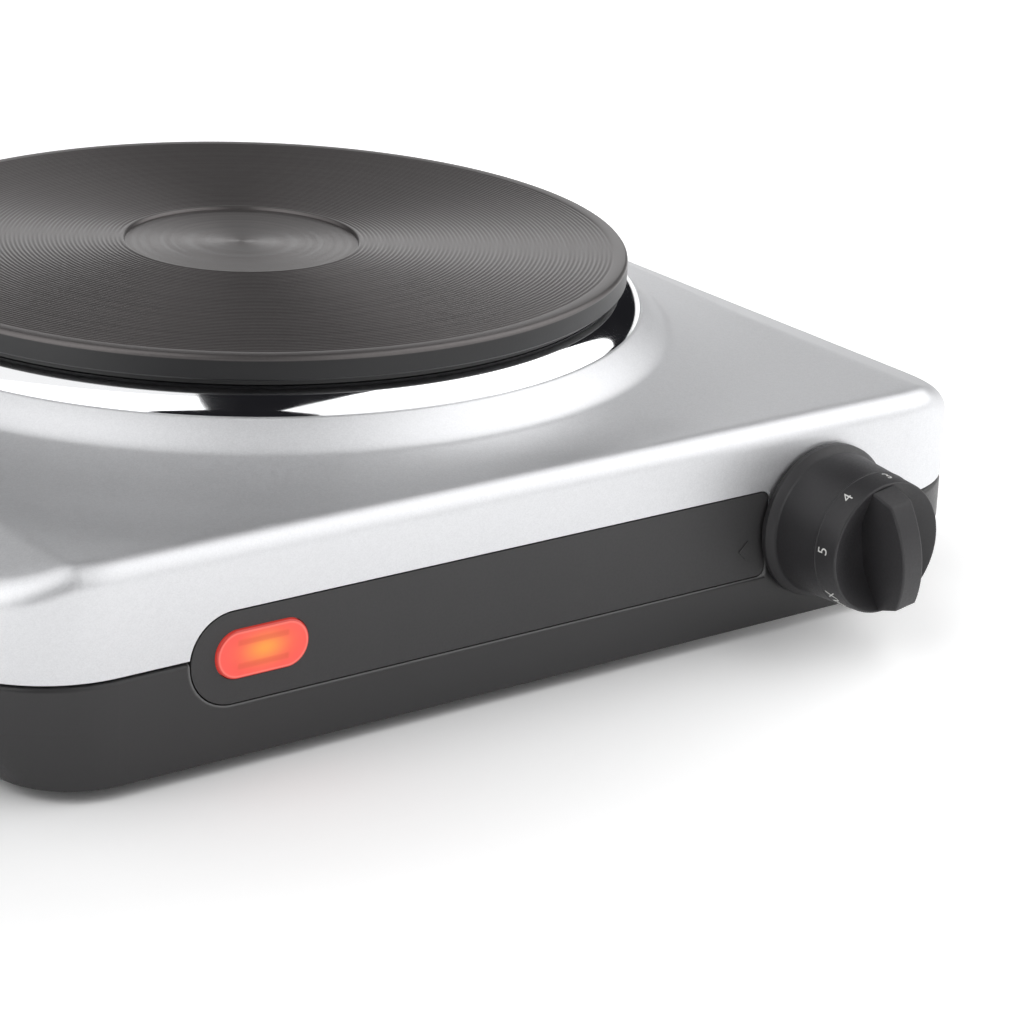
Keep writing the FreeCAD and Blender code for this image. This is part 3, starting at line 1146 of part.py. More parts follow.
clamp_length = mm("terminal_height") / 2 - mm("terminal_bore_radius")
clamp = Part.makeCylinder(mm("terminal_screw_radius"), clamp_length)
slot_width = mm("terminal_screw_radius") / 2
clamp = clamp.cut(Part.makeBox(4 * slot_width, slot_width, slot_width,
                               Vector(-2 * slot_width, -slot_width / 2, clamp_length - slot_width)))
clamp_y = mm("terminal_front_y") + mm("terminal_depth") / 4
clamp_z = mm("floor_z") + mm("terminal_height") - clamp_length
copies("terminal_screws", clamp, [
    Vector(mm("gland_x") + number * mm("terminal_pitch"), clamp_y, clamp_z) for number in (-1, 0, 1)])

# Wires inside the base, each from one metal end to the other.

way_z = mm("floor_z") + mm("terminal_height") / 2
way_y = mm("terminal_front_y")
way_x = [mm("gland_x") + number * mm("terminal_pitch") for number in (-1, 0, 1)]
tab_y = mm("front_y") + mm("line_tab_y") + mm("tab_sheet") / 2
leaf_end = Vector(mm("knob_x") + mm("tab_reach"), mm("front_y") + mm("leaf_y") + mm("blade_sheet") / 2,
                  mm("stack_z"))
line_end = Vector(mm("knob_x") - mm("tab_reach"), tab_y, mm("stack_z"))
near_pin = Vector(0, mm("coil_start"), mm("pin_z"))
far_pin = Vector(0, mm("coil_end"), mm("pin_z"))
lamp_y = mm("front_y") + mm("holder_back_y") + mm("neon_lead_tail")
lamp_ends = [Vector(mm("lens_x") + side * mm("neon_lead_spacing") / 2, lamp_y, mm("lens_z"))
             for side in (-1, 1)]
earth_end = Vector(mm("earth_x"), mm("earth_length") - mm("earth_width") / 2,
                   mm("washer_z") - mm("earth_sheet") / 2)

low_run = mm("floor_z") + mm("wire_low")
middle_run = mm("floor_z") + mm("wire_middle")
high_run = mm("floor_z") + mm("wire_high")
lead = mm("wire_lead")
rise = Vector(0, 0, mm("wire_rise"))


def between(start, end, share, height):
    """A point part of the way from one end to the other, at a given height."""
    point = start + (end - start) * share
    return Vector(point.x, point.y, height)


def lead_out(number, lift=0.0):
    """The mouth of one way of the terminal block, and the end of the straight run ahead of it."""
    return Vector(way_x[number], way_y, way_z), Vector(way_x[number], way_y - lead, way_z + lift)


def wire(label, points):
    tube(label, points, mm("wire_radius"))


way_live, live_turn = lead_out(0)
tab_turn = line_end - Vector(lead, 0, 0)
wire("live_wire", [way_live, live_turn, between(live_turn, tab_turn, 0.5, low_run), tab_turn, line_end])
way_neutral, neutral_turn = lead_out(1, 2 * mm("wire_radius"))
wire("neutral_wire", [way_neutral, neutral_turn, between(neutral_turn, near_pin, 0.6, middle_run),
                      near_pin - rise, near_pin])
way_earth, earth_turn = lead_out(2)
tag_turn = earth_end + Vector(0, lead, 0)
wire("earth_wire", [way_earth, earth_turn, between(earth_turn, tag_turn, 0.6, middle_run),
                    tag_turn, earth_end])
leaf_turn = leaf_end + Vector(mm("stack_radius"), lead, 0)
wire("switched_wire", [leaf_end, leaf_end + Vector(mm("stack_radius"), 0, 0), leaf_turn,
                       between(leaf_turn, far_pin, 0.4, high_run),
                       between(leaf_turn, far_pin, 0.85, high_run),
                       far_pin - rise, far_pin])
lamp_turns = [end + Vector(0, lead, 0) for end in lamp_ends]
side_step = Vector(mm("pin_radius"), 0, -mm("pin_radius"))
for label, start, turn, pin in (("lamp_live_lead", lamp_ends[0], lamp_turns[0], far_pin),
                                ("lamp_neutral_lead", lamp_ends[1], lamp_turns[1], near_pin)):
    pin_side = pin - side_step
    pin_turn = pin_side - Vector(lead, 0, 0)
    wire(label, [start, turn, between(turn, pin_side, 0.6, high_run), pin_turn, pin_side])

# Every piece must be whole before anything is written.

doc.recompute()
pieces = [thing for thing in doc.Objects
          if thing.TypeId in ("PartDesign::Body", "Part::Feature") and thing is not foot]
for thing in doc.Objects:
    if "Invalid" in thing.State or "Error" in thing.State:
        raise RuntimeError(f"{thing.Label} failed to build: {thing.State}")
for piece in pieces:
    if piece.Shape.isNull() or not piece.Shape.isValid() or not piece.Shape.Solids:
        raise RuntimeError(f"{piece.Label} is not a whole solid")

os.makedirs("parts", exist_ok=True)
for piece in pieces:
    piece.Shape.exportStep(f"parts/{piece.Label}.step")
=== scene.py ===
import json
import math

import bmesh
import bpy
from mathutils import Matrix, Vector


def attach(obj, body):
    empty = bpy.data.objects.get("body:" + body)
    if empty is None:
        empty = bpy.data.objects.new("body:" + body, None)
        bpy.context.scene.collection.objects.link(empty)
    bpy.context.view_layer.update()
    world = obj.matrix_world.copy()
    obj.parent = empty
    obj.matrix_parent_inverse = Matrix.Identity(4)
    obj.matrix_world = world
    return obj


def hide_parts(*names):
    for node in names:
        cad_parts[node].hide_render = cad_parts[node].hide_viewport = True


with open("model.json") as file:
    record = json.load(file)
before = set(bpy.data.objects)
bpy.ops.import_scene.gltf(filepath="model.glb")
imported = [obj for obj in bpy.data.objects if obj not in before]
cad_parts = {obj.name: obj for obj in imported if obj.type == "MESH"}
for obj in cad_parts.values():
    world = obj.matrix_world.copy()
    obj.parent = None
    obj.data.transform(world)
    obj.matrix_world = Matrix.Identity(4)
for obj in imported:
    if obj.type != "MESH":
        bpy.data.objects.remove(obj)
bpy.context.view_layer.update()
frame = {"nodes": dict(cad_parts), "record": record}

# Base pan: moulded in satin black plastic with a fine eroded grain. Feet and gland plug into it, and
# long screws go up through its corner posts. A notch with a softened edge in its front takes the fascia; a
# thin band along that edge is painted paler as a highlight.


class Value:
    """A socket of a node tree that takes part in plain arithmetic."""

    def __init__(self, graph, socket):
        self.graph = graph
        self.socket = socket

    def math(self, operation, *others):
        return self.graph.node("ShaderNodeMath", dict(enumerate((self, *others))), operation=operation)

    def __add__(self, other):
        return self.math("ADD", other)

    def __sub__(self, other):
        return self.math("SUBTRACT", other)

    def __mul__(self, other):
        return self.math("MULTIPLY", other)

    def __truediv__(self, other):
        return self.math("DIVIDE", other)

    def __pow__(self, other):
        return self.math("POWER", other)

    def __neg__(self):
        return self.math("MULTIPLY", -1.0)

    def __abs__(self):
        return self.math("ABSOLUTE")

    def __rsub__(self, other):
        return -self + other

    def __rtruediv__(self, other):
        return self ** -1.0 * other

    __radd__ = __add__
    __rmul__ = __mul__

    def exp(self):
        return self.math("EXPONENT")

    def sine(self):
        return self.math("SINE")

    def cosine(self):
        return self.math("COSINE")

    def at_least(self, other):
        return self.math("MAXIMUM", other)

    def ramp(self, low, high, start=0.0, end=1.0):
        """Maps low..high to start..end, smooth and held at both ends."""
        return self.graph.node("ShaderNodeMapRange", {0: self, 1: low, 2: high, 3: start, 4: end},
                               interpolation_type="SMOOTHSTEP")


class Graph:
    """A node tree. node() adds a node, sets it, links or fills its inputs, and gives one output."""

    def __init__(self, tree):
        self.tree = tree

    def feed(self, socket, value):
        if isinstance(value, Value):
            self.tree.links.new(value.socket, socket)
        else:
            socket.default_value = value

    def node(self, kind, inputs=None, output=0, **settings):
        made = self.tree.nodes.new(kind)
        for key, value in settings.items():
            setattr(made, key, value)
        for key, value in (inputs or {}).items():
            self.feed(made.inputs[key], value)
        return Value(self, made.outputs[output])


class Look(Graph):
    """A material on one Principled surface."""

    def __init__(self, name, **constants):
        self.material = bpy.data.materials.new(name)
        self.material.use_nodes = True
        super().__init__(self.material.node_tree)
        self.surface = self.tree.nodes["Principled BSDF"]
        self.set(**constants)

    def set(self, **inputs):
        for key, value in inputs.items():
            self.feed(self.surface.inputs[key.replace("_", " ")], value)

    def place(self):
        """The point on the piece, in metres."""
        return self.node("ShaderNodeTexCoord", output="Object")

    def axis(self, letter):
        return self.node("ShaderNodeSeparateXYZ", {0: self.place()}, output=letter)

    def noise(self, size, detail=3.0, rough=0.5):
        """Cloudy noise whose blotches are about size metres across."""
        return self.node("ShaderNodeTexNoise", {"Vector": self.place(), "Scale": 1 / size, "Detail": detail,
                                                "Roughness": rough})

    def cells(self, size):
        """A random level for each cell of about size metres."""
        flecks = self.node("ShaderNodeTexVoronoi", {"Vector": self.place(), "Scale": 1 / size},
                           output="Color")
        return self.node("ShaderNodeSeparateColor", {"Color": flecks})

    def shade(self, factor, dark, light):
        """A colour between two, each given as a tuple or as an earlier shade."""
        ends = [end if isinstance(end, Value) else (*end, 1) for end in (dark, light)]
        return self.node("ShaderNodeMixRGB", {"Fac": factor, "Color1": ends[0], "Color2": ends[1]})

    def bump(self, height, strength, distance):
        self.set(Normal=self.node("ShaderNodeBump", {"Height": height, "Strength": strength,
                                                     "Distance": distance}))


def paint(look, *slots):
    """Gives every CAD node of these finishes a better material."""
    for subpart in frame["record"]["subparts"]:
        if subpart["material_slot"] in slots:
            mesh = frame["nodes"][subpart["node"]].data
            mesh.materials.clear()
            mesh.materials.append(look.material)


notch_left, notch_right, notch_z, notch_round, notch_front = -0.07895, 0.06465, 0.02545, 0.0105, -0.106
notch_highlight_grey, highlight_width, edge_bend = (0.12, 0.12, 0.12), 0.0005, 0.0007

base_look = Look("satin_black", IOR=1.5)
grain = base_look.noise(0.0006, detail=2)
past_end = (notch_left - base_look.axis("X")).at_least(0)
off_notch = (past_end ** 2 + (base_look.axis("Z") - notch_z) ** 2) ** 0.5 - notch_round
off_notch = off_notch.at_least(base_look.axis("X") - notch_right).at_least(base_look.axis("Y") - notch_front)
mottle = base_look.shade(base_look.noise(0.03), (0.023, 0.022, 0.023), (0.028, 0.027, 0.028))
# Painted highlight: the colour turns paler grey in a thin band along the notch edge.
base_look.set(Base_Color=base_look.shade(off_notch.ramp(0.0001, highlight_width), notch_highlight_grey, mottle),
              Roughness=grain.ramp(0.3, 0.7, 0.36, 0.46))
base_look.bump(grain * 0.03 + off_notch.ramp(0, edge_bend), 0.5, 0.0005)
paint(base_look, "base_plastic")

# Rubber feet and cord gland: dull black mouldings with a little dust in their pores. The feet are pressed
# into sockets under the base, and the barb of the gland catches behind the back wall.

rubber_look = Look("dusty_rubber", IOR=1.45)
dust = rubber_look.noise(0.0015)
rubber_look.set(
    Base_Color=rubber_look.shade(dust.ramp(0.45, 0.7), (0.018, 0.018, 0.018), (0.035, 0.034, 0.033)),
    Roughness=dust.ramp(0.3, 0.7, 0.6, 0.8))
rubber_look.bump(dust, 0.2, 0.0001)
paint(rubber_look, "foot_rubber", "gland_plastic")

# Top cover: one steel pressing under silver metallic paint, with fine flakes in the lacquer. Its side
# strips fall away from a soft crease, a collar rises round the plate, and a notch takes the fascia.


def new_piece(name, shape, look, body, smooth=30):
    """Turns a finished shape into a piece that rides on a body and takes one finish."""
    bmesh.ops.remove_doubles(shape, verts=shape.verts, dist=1e-6)
    bmesh.ops.recalc_face_normals(shape, faces=shape.faces)
    mesh = bpy.data.meshes.new(name)
    shape.to_mesh(mesh)
    shape.free()
    mesh.shade_smooth()
    mesh.set_sharp_from_angle(angle=math.radians(smooth))
    mesh.materials.append(look.material)
    piece = bpy.data.objects.new(name, mesh)
    bpy.context.scene.collection.objects.link(piece)
    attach(piece, body)
    return piece


half_x, half_y, corner, edge_round, sheet = 0.135, 0.1225, 0.029, 0.005, 0.0008
panel_z, skirt_z, plate_y, wall_y = 0.0512, 0.0269, 0.0139, -0.1086
crease_x, crease_bend, strip_drop, strip_width = 0.1142, 0.0016, 0.007, 0.0208
sweep_radius, sweep_run, sweep_rise, sweep_power = 0.1046, 0.0225, 0.0033, 1.8
collar = [(0.1040, 0.00349), (0.1034, 0.00378), (0.1028, 0.00416), (0.1020, 0.00478), (0.0999, 0.00664),
          (0.09708, 0.00923), (0.09676, 0.00943), (0.09642, 0.0095), (0.0870, 0.0095)]
notch_corner, shaft_x, shaft_z, shaft_hole, cut_reach = 0.00235, 0.0807, 0.02615, 0.007, 0.003
corner_steps, side_steps, round_steps, panel_steps = 24, 84, 9, 20
wall_low = skirt_z - panel_z
plate_axis = Matrix.Translation((0, plate_y, 0))

middles = [Vector((x * (half_x - corner), y * (half_y - corner)))
           for x, y in ((1, 1), (-1, 1), (-1, -1), (1, -1))]
spine = []
for quarter, middle in enumerate(middles):
    turns = [math.pi / 2 * (quarter + step / corner_steps) for step in range(corner_steps + 1)]
    outwards = [Vector((math.cos(turn), math.sin(turn))) for turn in turns]
    spine += [(middle, outward) for outward in outwards[:-1]]
    onward = middles[(quarter + 1) % 4]
    spine += [(middle.lerp(onward, step / side_steps), outwards[-1]) for step in range(side_steps)]


def cover_surface(depth):
    """One face of the sheet in loops, as (inset of the outline, radius round the plate, share, height)."""
    bend = edge_round - depth
    loops = [(depth, 0, 0, wall_low), (depth, 0, 0, (wall_low - edge_round) / 2)]
    for step in range(round_steps + 1):
        lean = math.pi / 2 * step / round_steps
        loops.append((depth + bend * (1 - math.cos(lean)), 0, 0, -depth - bend * (1 - math.sin(lean))))
    loops += [(edge_round, sweep_radius, step / panel_steps, -depth) for step in range(1, panel_steps + 1)]
    loops += [(0, radius, 1, height - depth) for radius, height in collar]
    return loops


cover_shape = bmesh.new()
hoops = []
for inset, radius, share, height in cover_surface(0) + cover_surface(sheet)[::-1]:
    hoop = []
    for middle, outward in spine:
        edge = middle + outward * (corner - inset)
        place = edge.lerp((middle + outward * corner).normalized() * radius, share)
        sweep = 0
        if radius == sweep_radius:
            run = min(sweep_run, edge.length - radius)
            sweep = sweep_rise * max(1 - (place.length - radius) / run, 0) ** sweep_power
        hoop.append(cover_shape.verts.new((place.x, place.y, height + sweep)))
    hoops.append(hoop)
for hoop, next_hoop in zip(hoops, hoops[1:] + hoops[:1]):
    for step in range(len(spine)):
        after = (step + 1) % len(spine)
        cover_shape.faces.new((hoop[step], hoop[after], next_hoop[after], next_hoop[step]))
for side in (-1, 1):
    for share in (-1, -0.5, 0, 0.5, 1):
        bmesh.ops.bisect_plane(
            cover_shape, geom=cover_shape.verts[:] + cover_shape.edges[:] + cover_shape.faces[:],
            plane_co=(side * (crease_x + share * crease_bend), 0, 0), plane_no=(1, 0, 0))
for vert in cover_shape.verts:
    past = abs(vert.co.x) - crease_x
    bent = past if past > crease_bend else max(past + crease_bend, 0) ** 2 / (4 * crease_bend)
    fall = strip_drop / strip_width * bent
    vert.co.z += panel_z - fall * min((vert.co.z - wall_low) / (-edge_round - wall_low), 1)
cover_shape.transform(plate_axis)
sheet_mesh = bpy.data.meshes.new("pressing")
cover_shape.to_mesh(sheet_mesh)
cover_shape.free()


def arc(x, z, radius, start, end, steps):
    """Points round (x, z) from one angle to another, in degrees."""
    turns = [math.radians(start + (end - start) * step / steps) for step in range(steps + 1)]
    return [(x + radius * math.cos(turn), z + radius * math.sin(turn)) for turn in turns]


notch = arc(notch_left, notch_z, notch_round, 90, 270, 32)
notch += [(notch_right, notch_z - notch_round)]
notch += arc(notch_right - notch_corner, notch_z + notch_round - notch_corner, notch_corner, 0, 90, 6)
shaft_way = arc(shaft_x, shaft_z, shaft_hole, 0, 360, 48)[:-1]
cut_shape = bmesh.new()
for outline in (notch, shaft_way):
    fore, rear = ([cut_shape.verts.new((x, wall_y + away, z)) for x, z in outline]
                  for away in (-cut_reach, cut_reach))
    cut_shape.faces.new(fore)
    cut_shape.faces.new(rear)
    for step in range(len(outline)):
        after = (step + 1) % len(outline)
        cut_shape.faces.new((fore[step], fore[after], rear[after], rear[step]))
bmesh.ops.recalc_face_normals(cut_shape, faces=cut_shape.faces)
cut_mesh = bpy.data.meshes.new("cutters")
cut_shape.to_mesh(cut_mesh)
cut_shape.free()

pressing = bpy.data.objects.new("pressing", sheet_mesh)
cutters = bpy.data.objects.new("cutters", cut_mesh)
for tool in (pressing, cutters):
    bpy.context.scene.collection.objects.link(tool)
cutting = pressing.modifiers.new("notch", "BOOLEAN")
cutting.operation, cutting.object = "DIFFERENCE", cutters
cut_cover = bpy.data.meshes.new_from_object(pressing.evaluated_get(bpy.context.evaluated_depsgraph_get()))
pressing.modifiers.remove(cutting)
for tool in (pressing, cutters):
    bpy.data.objects.remove(tool)
cover_shape = bmesh.new()
cover_shape.from_mesh(cut_cover)

silver_look = Look("silver_flake", Metallic=0.92)
flake = silver_look.cells(0.00025)
cloud = silver_look.noise(0.0012, detail=2)
silver_look.set(
    Base_Color=silver_look.shade(flake * 0.6 + cloud * 0.4, (0.70, 0.705, 0.72), (0.81, 0.815, 0.83)),
    Roughness=flake.ramp(0.0, 1.0, 0.46, 0.54))
silver_look.bump(flake * 0.5 + cloud, 0.06, 0.0001)
cover = new_piece("cover_pressing", cover_shape, silver_look, "body")
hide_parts("top_cover")

# Trim ring: thin sheet rolled to a bow, polished and chromed. Its flat land is clamped under the
# step of the plate and its foot stands on the collar.


def add_lathe(shape, profile, steps=256):
    """Adds rings of faces round Z through (radius, height) points. A radius of 0 is a closed pole."""
    turns = [2 * math.pi * step / steps for step in range(steps)]
    rings = []
    for radius, height in profile:
        if radius == 0:
            rings.append([shape.verts.new((0, 0, height))] * steps)
        else:
            rings.append([shape.verts.new((radius * math.cos(turn), radius * math.sin(turn), height))
                          for turn in turns])
    for low, high in zip(rings, rings[1:]):
        for step in range(steps):
            after = (step + 1) % steps
            shape.faces.new(dict.fromkeys((low[step], low[after], high[after], high[step])))


land_inner, land_outer, land_z, ring_sheet = 0.0855, 0.0887, 0.0660, 0.0008
bow_r, bow_z, bow_radius, bow_start, bow_end, bow_steps = 0.088146, 0.057257, 0.00876, 86.37, 23.15, 24
ring_profile = [(land_inner, land_z), (land_outer, land_z)]
ring_profile += arc(bow_r, bow_z, bow_radius, bow_start, bow_end, bow_steps)[1:]
ring_profile += arc(bow_r, bow_z, bow_radius - ring_sheet, bow_end, bow_start, bow_steps)
ring_profile += [(land_inner, land_z - ring_sheet), (land_inner, land_z)]
ring_shape = bmesh.new()
add_lathe(ring_shape, ring_profile)
ring_shape.transform(plate_axis)

chrome_look = Look("polished_chrome", Metallic=1.0)
haze = chrome_look.noise(0.012)
chrome_look.set(Base_Color=chrome_look.shade(haze, (0.86, 0.87, 0.88), (0.92, 0.92, 0.93)),
                Roughness=haze.ramp(0.3, 0.7, 0.05, 0.09))
ring = new_piece("trim_ring_bow", ring_shape, chrome_look, "body")
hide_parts("trim_ring")

# Cooking plate: grey iron casting. Its face is turned, which leaves concentric grooves round a
# shallow recess, and its edge is broken by a small chamfer. A stud holds it from below.

plate_top, plate_radius, recess_floor, recess_radius, plate_steps = 0.0731, 0.0925, 0.0723, 0.0283, 256
groove_count, groove_parts, first_groove, groove_pitch, groove_depth = 56, 5, 0.0288, 0.00108, 0.00016
rim_z, step_radius, hollow_outer, hollow_inner, hollow_z = 0.0675, 0.0902, 0.0840, 0.0790, 0.0541
web_z, boss_radius, stud_radius, stud_z = 0.0651, 0.0160, 0.0040, 0.0631
last_groove = first_groove + groove_count * groove_pitch

grooves = bpy.data.node_groups.new("turned_grooves", "GeometryNodeTree")
for name, kind in (("Count", "Int"), ("First", "Float"), ("Pitch", "Float"), ("Depth", "Float"),
                   ("Top", "Float"), ("Finish", "Material")):
    grooves.interface.new_socket(name, in_out="INPUT", socket_type="NodeSocket" + kind)
grooves.interface.new_socket("Face", in_out="OUTPUT", socket_type="NodeSocketGeometry")
graph = Graph(grooves)
entry = grooves.nodes.new("NodeGroupInput")
count, first, pitch, depth, top, finish = (Value(graph, entry.outputs[i]) for i in range(6))
flat = graph.node("GeometryNodeMeshGrid", {"Size X": 1.0, "Size Y": 1.0, "Vertices X": plate_steps + 1,
                                           "Vertices Y": count * groove_parts + 1})
spot = graph.node("GeometryNodeInputPosition")
turn = graph.node("ShaderNodeSeparateXYZ", {0: spot}, output="X") * (2 * math.pi)
across = (graph.node("ShaderNodeSeparateXYZ", {0: spot}, output="Y") + 0.5) * count
radius = first + across * pitch
dip = (0.5 - (across * (2 * math.pi)).cosine() * 0.5) * depth
round_face = graph.node("ShaderNodeCombineXYZ", {"X": radius * turn.cosine(), "Y": radius * turn.sine(),
                                                 "Z": top - dip})
face = graph.node("GeometryNodeSetPosition", {"Geometry": flat, "Position": round_face})
face = graph.node("GeometryNodeMergeByDistance", {"Geometry": face, "Distance": 1e-6})
face = graph.node("GeometryNodeRealizeInstances", {"Geometry": face})
face = graph.node("GeometryNodeSetMaterial", {"Geometry": face, "Material": finish})
graph.feed(grooves.nodes.new("NodeGroupOutput").inputs[0], face)

iron_look = Look("turned_iron", Anisotropic=0.62, Anisotropic_Rotation=0.25)
from_axis = (iron_look.axis("X") ** 2 + (iron_look.axis("Y") - plate_y) ** 2) ** 0.5
on_face = iron_look.axis("Z").ramp(plate_top - 0.0012, plate_top - 0.0009)
in_recess = from_axis.ramp(recess_radius - 0.0011, recess_radius - 0.0001, 1, 0.25)
pores = iron_look.noise(0.0009, detail=4, rough=0.65)
tool_rings = iron_look.node("ShaderNodeTexNoise", {"W": from_axis / 0.0023, "Scale": 1, "Detail": 2},
                            noise_dimensions="1D").ramp(0.36, 0.64)
tool_marks = 0.5 + (tool_rings - 0.5) * in_recess
turned = iron_look.shade(pores * 0.35 + tool_marks * 0.65, (0.082, 0.076, 0.0755), (0.174, 0.162, 0.160))
iron_look.set(Base_Color=iron_look.shade(on_face, (0.011, 0.011, 0.012), turned), Metallic=on_face * 0.78,
              Roughness=0.35 + 0.06 * pores + 0.09 * tool_marks)
iron_look.bump(pores, 0.15, 0.00012)

bearer = bpy.data.objects.new("turned_face", bpy.data.meshes.new("turned_face"))
bpy.context.scene.collection.objects.link(bearer)
turning = bearer.modifiers.new("grooves", "NODES")
turning.node_group = grooves
settings = {"Count": groove_count, "First": first_groove, "Pitch": groove_pitch, "Depth": groove_depth,
            "Top": plate_top, "Finish": iron_look.material}
for item in grooves.interface.items_tree:
    if item.in_out == "INPUT":
        turning[item.identifier] = settings[item.name]
groove_mesh = bpy.data.meshes.new_from_object(bearer.evaluated_get(bpy.context.evaluated_depsgraph_get()))
bearer.modifiers.remove(turning)
bpy.data.objects.remove(bearer)

plate_shape = bmesh.new()
plate_shape.from_mesh(groove_mesh)
recess = [(0, recess_floor), (recess_radius - 0.0008, recess_floor),
          (recess_radius - 0.0005, recess_floor + 0.00006), (recess_radius - 0.0002, plate_top - 0.00012),
          (recess_radius, plate_top), (first_groove, plate_top)]
rim = [(last_groove, plate_top), (plate_radius - 0.0008, plate_top),
       (plate_radius - 0.0004, plate_top - 0.00015), (plate_radius - 0.0001, plate_top - 0.0005),
       (plate_radius, plate_top - 0.0009), (plate_radius, rim_z + 0.0004), (plate_radius - 0.0004, rim_z),
       (step_radius, rim_z)]
underside = [(step_radius, land_z), (hollow_outer, land_z), (hollow_outer, hollow_z),
             (hollow_inner, hollow_z), (hollow_inner, web_z), (boss_radius, web_z), (boss_radius, hollow_z),
             (stud_radius, hollow_z), (stud_radius, stud_z), (0, stud_z)]
add_lathe(plate_shape, recess, plate_steps)
add_lathe(plate_shape, rim + underside, plate_steps)
plate_shape.transform(plate_axis)
plate = new_piece("cooking_plate", plate_shape, iron_look, "body", smooth=40)
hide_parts("hotplate")

# Control fascia: matt black strip let into the front and screwed from inside through its posts. A
# small raised pointer at its right end shows the setting of the knob.

fascia_look = Look("matt_black", IOR=1.5)
grain = fascia_look.noise(0.0005, detail=2)
fascia_look.set(
    Base_Color=fascia_look.shade(fascia_look.noise(0.02), (0.031, 0.030, 0.031), (0.037, 0.036, 0.037)),
    Roughness=grain.ramp(0.3, 0.7, 0.46, 0.56))
fascia_look.bump(grain, 0.14, 0.0001)
paint(fascia_look, "fascia_plastic")

pointer_tip, pointer_end, pointer_z, pointer_half = 0.0565, 0.0590, 0.02225, 0.0024
pointer_rise, pointer_root = 0.0003, 0.0002
corners = [(pointer_tip, pointer_z), (pointer_end, pointer_z + pointer_half),
           (pointer_end, pointer_z - pointer_half)]
pointer_shape = bmesh.new()
rear = [pointer_shape.verts.new((x, wall_y + pointer_root, z)) for x, z in corners]
fore = [pointer_shape.verts.new((x, wall_y - pointer_rise, z)) for x, z in corners]
pointer_shape.faces.new(fore)
pointer_shape.faces.new(rear)
for step in range(3):
    after = (step + 1) % 3
    pointer_shape.faces.new((rear[step], rear[after], fore[after], fore[step]))
new_piece("setting_pointer", pointer_shape, fascia_look, "body")

# Pilot lamp window: clear red moulding with a flute above and below its middle. It sits in the fascia
# against the holder of a neon lamp, which lights it from behind. That light is painted into the lens as
# emission, brightest in the middle and darker across the flutes, with a painted highlight and painted shade
# at the rim.

lens_x, lens_z, lens_straight, lens_half = -0.0719, 0.02605, 0.0059, 0.0052
flute_z, flute_half, flute_end = 0.0026, 0.0007, 0.0066

lens_look = Look("lit_red", IOR=1.5, Roughness=0.16, Emission_Strength=0.92)
along = lens_look.axis("X") - lens_x
across = lens_look.axis("Z") - lens_z
# Painted light of the neon lamp: the emission glows in the middle and is darker across the flutes.
glow = (-((along - 0.0004) / 0.0048) ** 2 - ((across - 0.0004) / 0.0029) ** 2).exp()
flutes = (-((abs(across) - flute_z) / flute_half) ** 4).exp()
flutes = flutes * abs(along).ramp(flute_end - 0.0008, flute_end, 1, 0)
off_line = ((abs(along) - lens_straight).at_least(0) ** 2 + across ** 2) ** 0.5
wave = lens_look.noise(0.004)
lit = lens_look.shade(wave, (0.90, 0.085, 0.065), (0.98, 0.110, 0.085))
lit = lens_look.shade(glow, lit, (1.0, 0.36, 0.05))
lit = lens_look.shade(flutes * 0.5, lit, (0.66, 0.085, 0.03))
# Painted highlight: a paler line just inside the rim. Painted shade: a dark line at the very edge.
lit = lens_look.shade(off_line.ramp(lens_half - 0.0008, lens_half - 0.0004) * 0.55, lit, (1.0, 0.25, 0.20))
lit = lens_look.shade(off_line.ramp(lens_half - 0.0004, lens_half) * 0.85, lit, (0.42, 0.016, 0.012))
lens_look.set(Emission_Color=lit,
              Base_Color=lens_look.shade(wave, (0.10, 0.005, 0.004), (0.14, 0.008, 0.006)))
paint(lens_look, "lens_red")

# Control knob: hollow moulded drum in matt charcoal plastic, dished in front, with a grip bar across
# the dish. It is pushed on to the flat of the shaft.

knob_place = Matrix.Translation((shaft_x, wall_y, shaft_z)) @ Matrix.Rotation(math.radians(90), 4, "X")
back_d, rim_d, foot_radius, foot_d, drum_taper, knob_steps = 0.0008, 0.0228, 0.0169, 0.0042, 0.0699, 128
bore_radius, bore_d, hub_radius, web_d = 0.0030, 0.0158, 0.0054, 0.0168
hollow_radius, flange_radius = 0.0151, 0.0183
grip_half, grip_front, grip_bow, grip_reach, grip_steps = 0.0029, 0.0318, 0.0033, 0.0130, 12
grip_draft, grip_lean, grip_edge = 0.05, 9, 0.0004


def drum_radius(depth):
    """Radius of the drum at a distance in front of the wall."""
    return foot_radius - drum_taper * (depth - foot_d)


hollow = [(0, bore_d), (bore_radius, bore_d), (bore_radius, back_d), (hub_radius, back_d),
          (hub_radius, web_d), (0.0138, web_d), (hollow_radius, 0.0060), (hollow_radius, back_d)]
flange = [(flange_radius - 0.0002, back_d), (flange_radius, back_d + 0.0002), (flange_radius, 0.0022),
          (flange_radius - 0.0002, 0.0026), (0.0171, 0.0039)]
drum = [(drum_radius(depth) + lift, depth) for depth, lift in (
    (0.0044, 0), (0.0046, 0), (0.0161, 0), (0.0163, 0.0001), (0.0166, 0.0001), (0.0168, 0), (0.0221, 0))]
lip = [(0.01555, 0.0225), (0.01535, 0.02275), (0.0151, rim_d), (0.0148, rim_d - 0.0001)]
dish = [(0.0124, 0.0216), (0.0100, 0.0203), (0.0076, 0.0192), (0.0052, 0.0186), (0, 0.0185)]
knob_shape = bmesh.new()
add_lathe(knob_shape, hollow + flange + drum + lip + dish, knob_steps)

